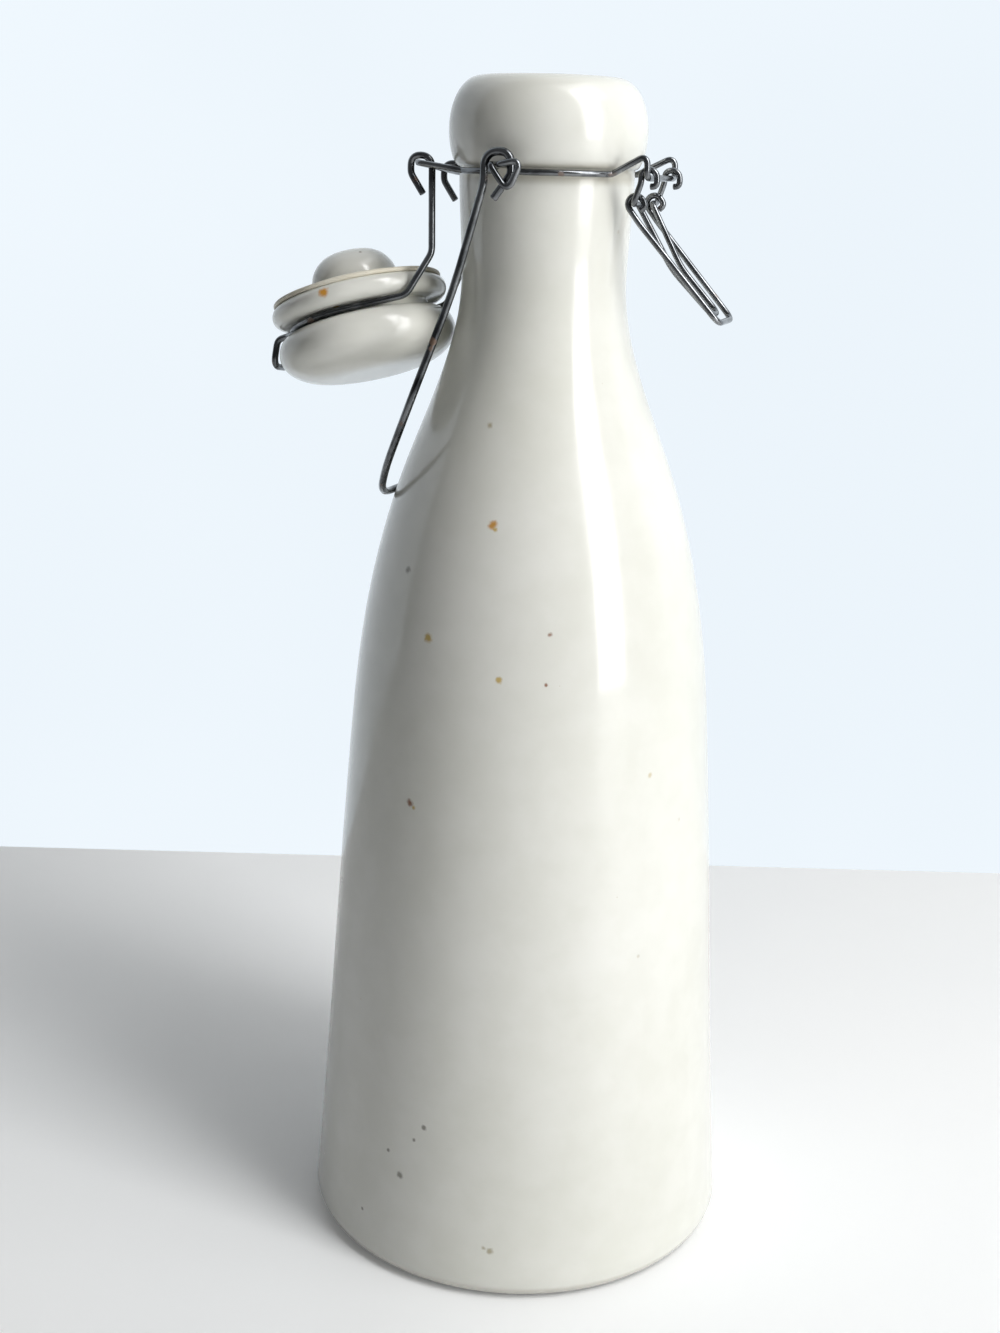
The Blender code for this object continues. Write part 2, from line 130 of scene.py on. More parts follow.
def turned_mesh(
    name: str, outline: Sequence[Point2], segments: int, waver: Callable[[float, float], float]
) -> bpy.types.Mesh:
    """Turns an outline about Z, a little out of true as thrown or cast clay is.

    Args:
        name: Name of the mesh.
        outline: Points (radius, height) up the outside and down the inside.
        segments: Number of steps round.
        waver: Gives the change of radius at an angle and a height.

    Returns:
        A closed smooth mesh.
    """
    verts: list[Point3] = []
    rings: list[list[int]] = []
    for radius, height in outline:
        if radius == 0.0:
            rings.append([len(verts)])
            verts.append((0.0, 0.0, height))
            continue
        rings.append(list(range(len(verts), len(verts) + segments)))
        for step in range(segments):
            angle = math.tau * step / segments
            reach = radius + waver(angle, height) * min(1.0, radius / STEADY_RADIUS)
            verts.append((reach * math.cos(angle), reach * math.sin(angle), height))
    following = rings[1:]
    if len(rings[0]) > 1:
        following.append(rings[0])
    faces: list[tuple[int, ...]] = []
    for lower, upper in zip(rings, following):
        for step in range(segments):
            after = (step + 1) % segments
            if len(lower) == 1:
                faces.append((lower[0], upper[after], upper[step]))
            elif len(upper) == 1:
                faces.append((lower[step], lower[after], upper[0]))
            else:
                faces.append((lower[step], lower[after], upper[after], upper[step]))
    mesh = bpy.data.meshes.new(name)
    mesh.from_pydata(verts, [], faces)
    mesh.update()
    mesh.shade_smooth()
    return mesh


def bend_at(point: Vector, before: Vector, after: Vector, radius: float) -> list[Vector]:
    """Rounds one corner of a path.

    Args:
        point: The corner.
        before: The way from the corner back to the one before it.
        after: The way from the corner on to the next one.
        radius: The bend's radius, which is less where a leg is short.

    Returns:
        The points of the bend's arc.
    """
    turn = math.pi - before.angle(after)
    longest = LEG_SHARE * min(before.length, after.length)
    reach = min(radius * math.tan(turn / 2), longest)
    inward = (before.normalized() + after.normalized()).normalized()
    centre = point + inward * (reach / math.tan(turn / 2) / math.cos(turn / 2))
    first = point + before.normalized() * reach - centre
    last = point + after.normalized() * reach - centre
    axis = first.cross(last).normalized()
    steps = max(2, math.ceil(turn / BEND_STEP))
    return [centre + Matrix.Rotation(turn * step / steps, 3, axis) @ first for step in range(steps + 1)]


def filleted(corners: Sequence[Corner], cyclic: bool = False) -> list[Vector]:
    """Turns corners into a path with an arc at each bend.

    Args:
        corners: Each corner with its bend radius.
        cyclic: Whether the last corner joins the first.

    Returns:
        The path's points.
    """
    count = len(corners)
    points: list[Vector] = []
    for index, (point, radius) in enumerate(corners):
        if radius == 0.0 or (not cyclic and index in (0, count - 1)):
            points.append(point.copy())
            continue
        before = corners[(index - 1) % count][0] - point
        after = corners[(index + 1) % count][0] - point
        points += bend_at(point, before, after, radius)
    return points


def evened(path: Sequence[Vector], spacing: float, cyclic: bool) -> list[Vector]:
    """Spaces a path's points evenly and softens it a little, as a bent wire is soft.

    Args:
        path: The path's points.
        spacing: Distance between the new points.
        cyclic: Whether the path is closed.

    Returns:
        The new points.
    """
    loop = list(path) + ([path[0]] if cyclic else [])
    lengths = [0.0]
    for before, after in zip(loop, loop[1:]):
        lengths.append(lengths[-1] + (after - before).length)
    count = max(4, round(lengths[-1] / spacing))
    points: list[Vector] = []
    index = 0
    for step in range(count if cyclic else count + 1):
        place = lengths[-1] * step / count
        while index < len(loop) - 2 and lengths[index + 1] < place:
            index += 1
        span = max(1e-9, lengths[index + 1] - lengths[index])
        points.append(loop[index].lerp(loop[index + 1], (place - lengths[index]) / span))
    for _ in range(WIRE_SOFTENINGS):
        softened = []
        for spot, point in enumerate(points):
            if not cyclic and spot in (0, len(points) - 1):
                softened.append(point)
                continue
            before = points[spot - 1]
            after = points[(spot + 1) % len(points)]
            softened.append(point * 0.5 + (before + after) * 0.25)
        points = softened
    return points


def carried_frames(points: Sequence[Vector], cyclic: bool) -> tuple[list[Vector], list[Vector], float]:
    """Carries a sideways direction along a path without letting it spin.

    Args:
        points: The path's points.
        cyclic: Whether the path is closed.

    Returns:
        The tangents, the sideways directions, and how far a closed path's last frame is off its first.
    """
    count = len(points)
    tangents = []
    for index in range(count):
        before = points[index - 1] if cyclic or index else points[0]
        after = points[(index + 1) % count] if cyclic or index < count - 1 else points[-1]
        tangents.append((after - before).normalized())
    normal = tangents[0].orthogonal().normalized()
    frames = []
    for index, tangent in enumerate(tangents):
        if index:
            normal = tangents[index - 1].rotation_difference(tangent) @ normal
        normal = (normal - tangent * normal.dot(tangent)).normalized()
        frames.append(normal.copy())
    if not cyclic:
        return tangents, frames, 0.0
    closed = tangents[-1].rotation_difference(tangents[0]) @ frames[-1]
    side = tangents[0].cross(frames[0])
    return tangents, frames, math.atan2(closed.dot(side), closed.dot(frames[0]))


def swept_wire(
    name: str, corners: Sequence[Corner], gauge: WireGauge, cyclic: bool = False
) -> bpy.types.Mesh:
    """Sweeps a round wire along a bent path, with softly clipped ends.

    The mesh keeps the distance along the wire and the turn round it as attributes, which the
    drawn lines of the metal follow.

    Args:
        name: Name of the mesh.
        corners: The path's corners with their bend radii.
        gauge: The wire's radius.
        cyclic: Whether the wire is one closed loop.

    Returns:
        A closed smooth mesh.
    """
    radius = gauge.value
    points = evened(filleted(corners, cyclic), WIRE_SPACING, cyclic)
    tangents, frames, twist = carried_frames(points, cyclic)
    rows = [(point, tangent, frame, 1.0) for point, tangent, frame in zip(points, tangents, frames)]
    if not cyclic:
        for bulge, share in CLIPPED_END:
            rows.insert(0, (points[0] - tangents[0] * radius * bulge, tangents[0], frames[0], share))
            rows.append((points[-1] + tangents[-1] * radius * bulge, tangents[-1], frames[-1], share))
    verts: list[Vector] = []
    along: list[float] = []
    around: list[float] = []
    length = 0.0
    for index, (point, tangent, across, share) in enumerate(rows):
        if index:
            length += (point - rows[index - 1][0]).length
        other = tangent.cross(across)
        for side in range(WIRE_SIDES):
            turn = math.tau * side / WIRE_SIDES
            angle = turn - twist * index / len(rows)
            verts.append(point + (across * math.cos(angle) + other * math.sin(angle)) * radius * share)
            along.append(length)
            around.append(math.sin(turn))
    faces: list[tuple[int, ...]] = []
    for index in range(len(rows) if cyclic else len(rows) - 1):
        low = index * WIRE_SIDES
        high = ((index + 1) % len(rows)) * WIRE_SIDES
        for side in range(WIRE_SIDES):
            after = (side + 1) % WIRE_SIDES
            faces.append((low + side, low + after, high + after, high + side))
    if not cyclic:
        faces.append(tuple(range(WIRE_SIDES - 1, -1, -1)))
        faces.append(tuple(range((len(rows) - 1) * WIRE_SIDES, len(rows) * WIRE_SIDES)))
    mesh = bpy.data.meshes.new(name)
    mesh.from_pydata(verts, [], faces)
    mesh.update()
    mesh.attributes.new("along", "FLOAT", "POINT").data.foreach_set("value", along)
    mesh.attributes.new("around", "FLOAT", "POINT").data.foreach_set("value", around)
    mesh.shade_smooth()
    return mesh


def corner(x: float, y: float, z: float, bend: float = 0.0) -> Corner:
    """A corner of a wire's path with its bend radius."""
    return Vector((x, y, z)), bend


def mirrored(side_corners: Callable[[int], list[Corner]]) -> list[Corner]:
    """A path down one side of a wire, across, and back up the other side."""
    return side_corners(-1) + list(reversed(side_corners(1)))


class NodeDesk:
    """Adds nodes to one node tree and feeds their sockets."""

    def __init__(self, tree: bpy.types.NodeTree) -> None:
        """Keeps the tree that nodes are added to."""
        self.tree = tree

    def add(self, kind: str, feeds: Feeds | None = None, **settings: object) -> bpy.types.Node:
        """Adds one node.

        Args:
            kind: Blender's name of the node type.
            feeds: For each input, the socket that is joined to it or the value that it holds.
            settings: Properties of the node itself.

        Returns:
            The new node.
        """
        node = self.tree.nodes.new(kind)
        for name, value in settings.items():
            setattr(node, name, value)
        for name, value in (feeds or {}).items():
            if isinstance(value, Socket):
                self.tree.links.new(value, node.inputs[name])
            else:
                node.inputs[name].default_value = value
        return node

    def maths(self, operation: str, first: object, second: object = 0.0) -> Socket:
        """The result of one arithmetic step."""
        return self.add("ShaderNodeMath", {0: first, 1: second}, operation=operation).outputs[0]

    def ramp(
        self, value: object, source: tuple[object, object], target: tuple[object, object]
    ) -> Socket:
        """Carries a value smoothly from one range to another.

        Args:
            value: The value.
            source: Ends of the range that it comes from.
            target: Ends of the range that it goes to.

        Returns:
            The carried value.
        """
        feeds = {0: value, 1: source[0], 2: source[1], 3: target[0], 4: target[1]}
        return self.add("ShaderNodeMapRange", feeds, interpolation_type="SMOOTHSTEP").outputs[0]

    def noise(self, place: object, scale: object, detail: float = 2.0) -> Socket:
        """Even noise over the surface."""
        feeds = {"Vector": place, "Scale": scale, "Detail": detail}
        return self.add("ShaderNodeTexNoise", feeds).outputs[0]

    def blend(self, share: object, first: Socket | Colour, second: Socket | Colour) -> Socket:
        """Mixes two colours.

        Args:
            share: How much of the second colour there is.
            first: The first colour.
            second: The second colour.

        Returns:
            The mixed colour.
        """
        feeds: Feeds = {0: share}
        for place, colour in ((6, first), (7, second)):
            feeds[place] = (*colour, 1.0) if isinstance(colour, tuple) else colour
        return self.add("ShaderNodeMix", feeds, data_type="RGBA").outputs[2]


class Effect(Enum):
    """The surface effects that several finishes share, each built once as a node group."""

    MOTTLE = "soft_mottle"
    SPECKS = "fired_specks"
    SPOT = "frayed_spot"
    RINGS = "turning_rings"
    DRAWN = "drawn_lines"
    BAND = "height_band"


class EffectShop:
    """Builds the node groups of the effects when they are first asked for."""

    def __init__(self) -> None:
        """Starts with no effect built."""
        self.built: dict[Effect, bpy.types.NodeTree] = {}
        self.makers = {
            Effect.MOTTLE: self._mottle,
            Effect.SPECKS: self._specks,
            Effect.SPOT: self._spot,
            Effect.RINGS: self._rings,
            Effect.DRAWN: self._drawn,
            Effect.BAND: self._band,
        }

    def get(self, effect: Effect) -> bpy.types.NodeTree:
        """The node group of an effect.

        Args:
            effect: The effect.

        Returns:
            Its group, which is built the first time.
        """
        if effect not in self.built:
            self.built[effect] = self.makers[effect]()
        return self.built[effect]

    def _group(
        self, effect: Effect, vectors: Sequence[str], numbers: Sequence[str], output: str
    ) -> tuple[NodeDesk, dict[str, Socket], Socket]:
        """Starts a node group.

        Args:
            effect: The effect, which names the group.
            vectors: Names of its vector inputs.
            numbers: Names of its number inputs.
            output: Name of its output.

        Returns:
            The desk to add nodes with, what comes in by name, and the socket that goes out.
        """
        tree = bpy.data.node_groups.new(effect.value, "ShaderNodeTree")
        for name in vectors:
            tree.interface.new_socket(name, in_out="INPUT", socket_type="NodeSocketVector")
        for name in numbers:
            tree.interface.new_socket(name, in_out="INPUT", socket_type="NodeSocketFloat")
        tree.interface.new_socket(output, in_out="OUTPUT", socket_type="NodeSocketFloat")
        desk = NodeDesk(tree)
        outputs = desk.add("NodeGroupInput").outputs
        given = {name: outputs[name] for name in (*vectors, *numbers)}
        return desk, given, desk.add("NodeGroupOutput").inputs[0]

    def _mottle(self) -> bpy.types.NodeTree:
        """Slow uneven change between two values.

        Returns:
            The node group.
        """
        desk, given, result = self._group(Effect.MOTTLE, ["Vector"], ["Scale", "Low", "High"], "Value")
        noise = desk.noise(given["Vector"], given["Scale"], 3.0)
        desk.tree.links.new(desk.ramp(noise, (0.32, 0.68), (given["Low"], given["High"])), result)
        return desk.tree

    def _specks(self) -> bpy.types.NodeTree:
        """Small scattered specks, of which only a share of the cells holds one.

        Returns:
            The node group.
        """
        desk, given, result = self._group(Effect.SPECKS, ["Vector"], ["Scale", "Size", "Share"], "Mask")
        cells = desk.add("ShaderNodeTexVoronoi", {"Vector": given["Vector"], "Scale": given["Scale"]})
        chance = desk.add("ShaderNodeSeparateColor", {0: cells.outputs["Color"]}).outputs
        reach = desk.maths("MULTIPLY", given["Size"], desk.maths("ADD", chance[1], 0.35))
        core = desk.maths("MULTIPLY", reach, 0.35)
        dot = desk.ramp(cells.outputs["Distance"], (core, reach), (1.0, 0.0))
        chosen = desk.maths("LESS_THAN", chance[0], given["Share"])
        desk.tree.links.new(desk.maths("MULTIPLY", dot, chosen), result)
        return desk.tree

    def _spot(self) -> bpy.types.NodeTree:
        """One spot with a frayed edge round a given place.

        Returns:
            The node group.
        """
        desk, given, result = self._group(Effect.SPOT, ["Vector", "Centre"], ["Size", "Fray"], "Mask")
        ends = {0: given["Vector"], 1: given["Centre"]}
        away = desk.add("ShaderNodeVectorMath", ends, operation="DISTANCE").outputs["Value"]
        noise = desk.noise(given["Vector"], 900.0)
        fray = desk.maths("MULTIPLY", desk.maths("SUBTRACT", noise, 0.5), given["Fray"])
        core = desk.maths("MULTIPLY", given["Size"], 0.25)
        dot = desk.ramp(desk.maths("ADD", away, fray), (core, given["Size"]), (1.0, 0.0))
        desk.tree.links.new(dot, result)
        return desk.tree

    def _rings(self) -> bpy.types.NodeTree:
        """Faint rings left by turning, which wander a little.

        Returns:
            The node group.
        """
        desk, given, result = self._group(Effect.RINGS, ["Vector"], ["Pitch", "Wander"], "Height")
        split = desk.add("ShaderNodeSeparateXYZ", {0: given["Vector"]}).outputs
        rise = desk.maths("DIVIDE", split[2], given["Pitch"])
        wander = desk.maths("MULTIPLY", desk.noise(given["Vector"], 24.0), given["Wander"])
        turn = desk.maths("MULTIPLY", desk.maths("ADD", rise, wander), math.tau)
        wave = desk.ramp(desk.maths("SINE", turn), (-1.0, 1.0), (0.0, 1.0))
        desk.tree.links.new(wave, result)
        return desk.tree

    def _drawn(self) -> bpy.types.NodeTree:
        """Fine lines along a drawn wire.

        Returns:
            The node group.
        """
        desk, given, result = self._group(Effect.DRAWN, [], ["Along", "Around", "Stretch"], "Value")
        long_way = desk.maths("MULTIPLY", given["Along"], given["Stretch"])
        short_way = desk.maths("MULTIPLY", given["Around"], 7.0)
        place = desk.add("ShaderNodeCombineXYZ", {0: long_way, 1: short_way}).outputs[0]
        lines = desk.ramp(desk.noise(place, 1.0, 4.0), (0.35, 0.65), (0.0, 1.0))
        desk.tree.links.new(lines, result)
        return desk.tree

    def _band(self) -> bpy.types.NodeTree:
        """A soft band round the object between two heights.

        Returns:
            The node group.
        """
        desk, given, result = self._group(Effect.BAND, ["Vector"], ["Middle", "Half", "Fade"], "Mask")
        split = desk.add("ShaderNodeSeparateXYZ", {0: given["Vector"]}).outputs
        distance = desk.maths("ABSOLUTE", desk.maths("SUBTRACT", split[2], given["Middle"]))
        edge = desk.maths("ADD", given["Half"], given["Fade"])
        desk.tree.links.new(desk.ramp(distance, (given["Half"], edge), (1.0, 0.0)), result)
        return desk.tree


class StainTone(Enum):
    """The colours of the stains in the glaze."""

    OCHRE = (0.56, 0.27, 0.04)
    PALE_OCHRE = (0.55, 0.40, 0.13)
    BROWN = (0.26, 0.12, 0.06)
    GREY = (0.27, 0.26, 0.22)
    SAND = (0.62, 0.55, 0.38)
    DULL_SAND = (0.45, 0.40, 0.28)
    OLIVE = (0.42, 0.38, 0.27)
    PALE_OLIVE = (0.45, 0.41, 0.30)
    ORANGE = (0.66, 0.29, 0.01)
    RUSTY = (0.50, 0.33, 0.10)
    SMOKE = (0.28, 0.24, 0.18)


@dataclass(frozen=True)
class Mark:
    """A stain on a turned surface: azimuth in degrees, height and radius in millimetres, tone."""

    azimuth: float
    height: float
    size: float
    tone: StainTone


@dataclass(frozen=True)
class Stain:
    """One stain in the glaze: its place, its radius and its tone."""

    place: Point3
    size: float
    tone: StainTone


@dataclass(frozen=True)
class Band:
    """A band of another tone round a glazed piece."""

    middle: float
    half: float
    fade: float
    colour: Colour
    roughness: float


def new_material(name: str) -> tuple[bpy.types.Material, NodeDesk, bpy.types.Node]:
    """Starts a material.

    Args:
        name: Name of the material.

    Returns:
        The material, the desk to add nodes with and the shader.
    """
    made = bpy.data.materials.new(name)
    made.use_nodes = True
    return made, NodeDesk(made.node_tree), made.node_tree.nodes["Principled BSDF"]


class Finish:
    """What all finishes share: the effects, and how they are joined to the shader."""

    def __init__(self, shop: EffectShop) -> None:
        """Keeps the shop that the effects come from."""
        self.shop = shop

    def effect(self, desk: NodeDesk, effect: Effect, place: Socket, **values: object) -> Socket:
        """Places one effect in a material.

        Args:
            desk: The material's desk.
            effect: The effect.
            place: Where each point of the surface lies.
            values: The effect's own values by the names of its inputs.

        Returns:
            What the effect puts out.
        """
        feeds: Feeds = {"Vector": place, **values}
        return desk.add("ShaderNodeGroup", feeds, node_tree=self.shop.get(effect)).outputs[0]

    def join(self, desk: NodeDesk, shader: bpy.types.Node, **surface: Socket) -> None:
        """Feeds the shader.

        Args:
            desk: The material's desk.
            shader: The shader.
            surface: What feeds each input, by its name with a low line for each space.
        """
        for name, socket in surface.items():
            desk.tree.links.new(socket, shader.inputs[name.replace("_", " ")])

    def bump(
        self, desk: NodeDesk, shader: bpy.types.Node, layers: Sequence[tuple[Socket, float, float]]
    ) -> None:
        """Feeds the shader's normal through one bump node for each layer.

        Args:
            desk: The material's desk.
            shader: The shader.
            layers: For each layer its height socket, its depth in metres and its strength.
        """
        normal: Feeds = {}
        for height, depth, strength in layers:
            feeds = {"Height": height, "Distance": depth, "Strength": strength, **normal}
            normal = {"Normal": desk.add("ShaderNodeBump", feeds).outputs[0]}
        self.join(desk, shader, **normal)


class Glaze(Finish):
    """White glaze over clay, with specks, stains and a faint orange peel."""

    white: Colour = (0.81, 0.807, 0.755)
    deep: Colour = (0.71, 0.71, 0.64)
    speck: Colour = (0.30, 0.19, 0.10)
    pit: Colour = (0.46, 0.40, 0.30)
    refraction: float = 1.52
    coat: float = 0.2
    coat_roughness: float = 0.03
    ring_pitch: float = 11.0 * MM
    ring_wander: float = 1.1
    ring_depth: float = 0.05 * MM
    peel_depth: float = 0.05 * MM
    pit_depth: float = 0.12 * MM
    pit_roughness: float = 0.3
    speck_share: float = 0.75
    pit_share: float = 0.45
    stain_share: float = 0.95
    stain_fray: float = 0.9

    def material(self, name: str, stains: Sequence[Stain], bands: Sequence[Band]) -> bpy.types.Material:
        """The glaze of one piece.

        Args:
            name: Name of the material.
            stains: Single stains at known places.
            bands: Bands of another tone, such as the bare foot with its painted contact shadow.

        Returns:
            The material.
        """
        made, desk, shader = new_material(name)
        place = desk.add("ShaderNodeTexCoord").outputs["Object"]
        cloud = self.effect(desk, Effect.MOTTLE, place, Scale=16.0, Low=0.0, High=0.6)
        fine = self.effect(desk, Effect.MOTTLE, place, Scale=120.0, Low=0.0, High=0.25)
        specks = self.effect(desk, Effect.SPECKS, place, Scale=105.0, Size=0.04, Share=0.07)
        pits = self.effect(desk, Effect.SPECKS, place, Scale=210.0, Size=0.10, Share=0.05)
        colour = desk.blend(desk.maths("ADD", cloud, fine), self.white, self.deep)
        colour = desk.blend(desk.maths("MULTIPLY", specks, self.speck_share), colour, self.speck)
        colour = desk.blend(desk.maths("MULTIPLY", pits, self.pit_share), colour, self.pit)
        for stain in stains:
            spot = {"Centre": stain.place, "Size": stain.size, "Fray": self.stain_fray * stain.size}
            halo = self.effect(desk, Effect.SPOT, place, **spot)
            colour = desk.blend(desk.maths("MULTIPLY", halo, self.stain_share), colour, stain.tone.value)
        roughness = self.effect(desk, Effect.MOTTLE, place, Scale=60.0, Low=0.13, High=0.21)
        roughness = desk.maths("ADD", roughness, desk.maths("MULTIPLY", pits, self.pit_roughness))
        # Bands of another tone; the foot band carries a painted contact shadow.
        for band in bands:
            ring = {"Middle": band.middle, "Half": band.half, "Fade": band.fade}
            mask = self.effect(desk, Effect.BAND, place, **ring)
            colour = desk.blend(mask, colour, band.colour)
            roughness = desk.maths("ADD", roughness, desk.maths("MULTIPLY", mask, band.roughness))
        self.join(desk, shader, Base_Color=colour, Roughness=roughness)
        shader.inputs["IOR"].default_value = self.refraction
        shader.inputs["Coat Weight"].default_value = self.coat
        shader.inputs["Coat Roughness"].default_value = self.coat_roughness
        rings = self.effect(desk, Effect.RINGS, place, Pitch=self.ring_pitch, Wander=self.ring_wander)
        peel = desk.noise(place, 210.0)
        layers = [(rings, self.ring_depth, 0.35), (peel, self.peel_depth, 0.22)]
        self.bump(desk, shader, [*layers, (pits, -self.pit_depth, 0.6)])
        return made


class DrawnSteel(Finish):
    """Drawn steel wire, near black partly from age and partly as a painted reflection of a dark room,
    and bright where it rubs.
    """

    # Near-black colour: partly age, partly a painted reflection of a dark room round the wire.
    aged_and_painted_reflection: Colour = (0.015, 0.017, 0.020)
    bright: Colour = (0.26, 0.27, 0.28)
    rust: Colour = (0.20, 0.10, 0.045)
    line_stretch: float = 260.0
    line_share: float = 0.2
    line_depth: float = 0.006 * MM
    dent_depth: float = 0.03 * MM
    smoothness: Point2 = (0.20, 0.09)
    rust_share: float = 0.5
    rust_roughness: float = 0.3
    rust_metal: float = 0.4

    def material(self, name: str, wear: float) -> bpy.types.Material:
        """The steel of one wire.

        Args:
            name: Name of the material.
            wear: Share of the surface that is rubbed bright.

        Returns:
            The material.
        """
        made, desk, shader = new_material(name)
        place = desk.add("ShaderNodeTexCoord").outputs["Object"]
        wire = {
            "Along": desk.add("ShaderNodeAttribute", attribute_name="along").outputs["Fac"],
            "Around": desk.add("ShaderNodeAttribute", attribute_name="around").outputs["Fac"],
            "Stretch": self.line_stretch,
        }
        lines = desk.add("ShaderNodeGroup", wire, node_tree=self.shop.get(Effect.DRAWN)).outputs[0]
        rubbed = self.effect(desk, Effect.MOTTLE, place, Scale=140.0, Low=wear - 0.25, High=wear + 0.35)
        flecks = self.effect(desk, Effect.SPECKS, place, Scale=420.0, Size=0.5, Share=0.10)
        share = desk.maths("ADD", desk.maths("MULTIPLY", lines, self.line_share), rubbed)
        # Mixes the near-black colour, partly a painted dark reflection, with the rubbed bright steel.
        colour = desk.blend(share, self.aged_and_painted_reflection, self.bright)
        colour = desk.blend(desk.maths("MULTIPLY", flecks, self.rust_share), colour, self.rust)
        roughness = desk.ramp(lines, (0.0, 1.0), self.smoothness)
        roughness = desk.maths("ADD", roughness, desk.maths("MULTIPLY", flecks, self.rust_roughness))
        metallic = desk.ramp(flecks, (0.0, 1.0), (1.0, self.rust_metal))
        self.join(desk, shader, Base_Color=colour, Roughness=roughness, Metallic=metallic)
        dents = desk.noise(place, 480.0)
        self.bump(desk, shader, [(lines, self.line_depth, 0.35), (dents, self.dent_depth, 0.3)])
        return made


class SealRubber(Finish):
    """Cream rubber, yellowed at the outer edge and dusty."""

    cream: Colour = (0.80, 0.765, 0.66)
    yellow: Colour = (0.72, 0.62, 0.42)
    dust: Colour = (0.42, 0.35, 0.24)
    dust_share: float = 0.4
    yellow_from: float = 0.72
    yellow_to: float = 1.02
    cloud_depth: float = 0.1 * MM
    grain_depth: float = 0.03 * MM

    def material(self, name: str, centre: Vector, radius: float) -> bpy.types.Material:
        """The rubber of the sealing ring.

        Args:
            name: Name of the material.
            centre: The ring's centre.
            radius: The ring's outer radius.

        Returns:
            The material.
        """
        made, desk, shader = new_material(name)
        place = desk.add("ShaderNodeTexCoord").outputs["Object"]
        ends = {0: place, 1: tuple(centre)}
        away = desk.add("ShaderNodeVectorMath", ends, operation="DISTANCE").outputs["Value"]
        rim = desk.ramp(away, (self.yellow_from * radius, self.yellow_to * radius), (0.1, 0.65))
        cloud = self.effect(desk, Effect.MOTTLE, place, Scale=110.0, Low=0.0, High=0.5)
        grime = self.effect(desk, Effect.SPECKS, place, Scale=330.0, Size=0.35, Share=0.12)
        colour = desk.blend(desk.maths("MULTIPLY", rim, cloud), self.cream, self.yellow)
        colour = desk.blend(desk.maths("MULTIPLY", grime, self.dust_share), colour, self.dust)
        roughness = self.effect(desk, Effect.MOTTLE, place, Scale=260.0, Low=0.38, High=0.62)
        self.join(desk, shader, Base_Color=colour, Roughness=roughness)
        grain = desk.noise(place, 900.0)
        self.bump(desk, shader, [(cloud, self.cloud_depth, 0.3), (grain, self.grain_depth, 0.4)])
        return made


def place_piece(
    name: str, mesh: bpy.types.Mesh, finish: bpy.types.Material, body: str
) -> bpy.types.Object:
    """Puts a fine piece in the scene in place of the CAD node of the same name.

    Args:
        name: Name of the CAD node that the piece stands for.
        mesh: The piece's surface, in the frame of the CAD.
        finish: The piece's material.
        body: The CAD body that the piece rides on.

    Returns:
        The piece.
    """
    piece = bpy.data.objects.new(f"fine_{name}", mesh)
    bpy.context.scene.collection.objects.link(piece)
    mesh.materials.append(finish)
    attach(piece, body)
    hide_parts(name)
    return piece


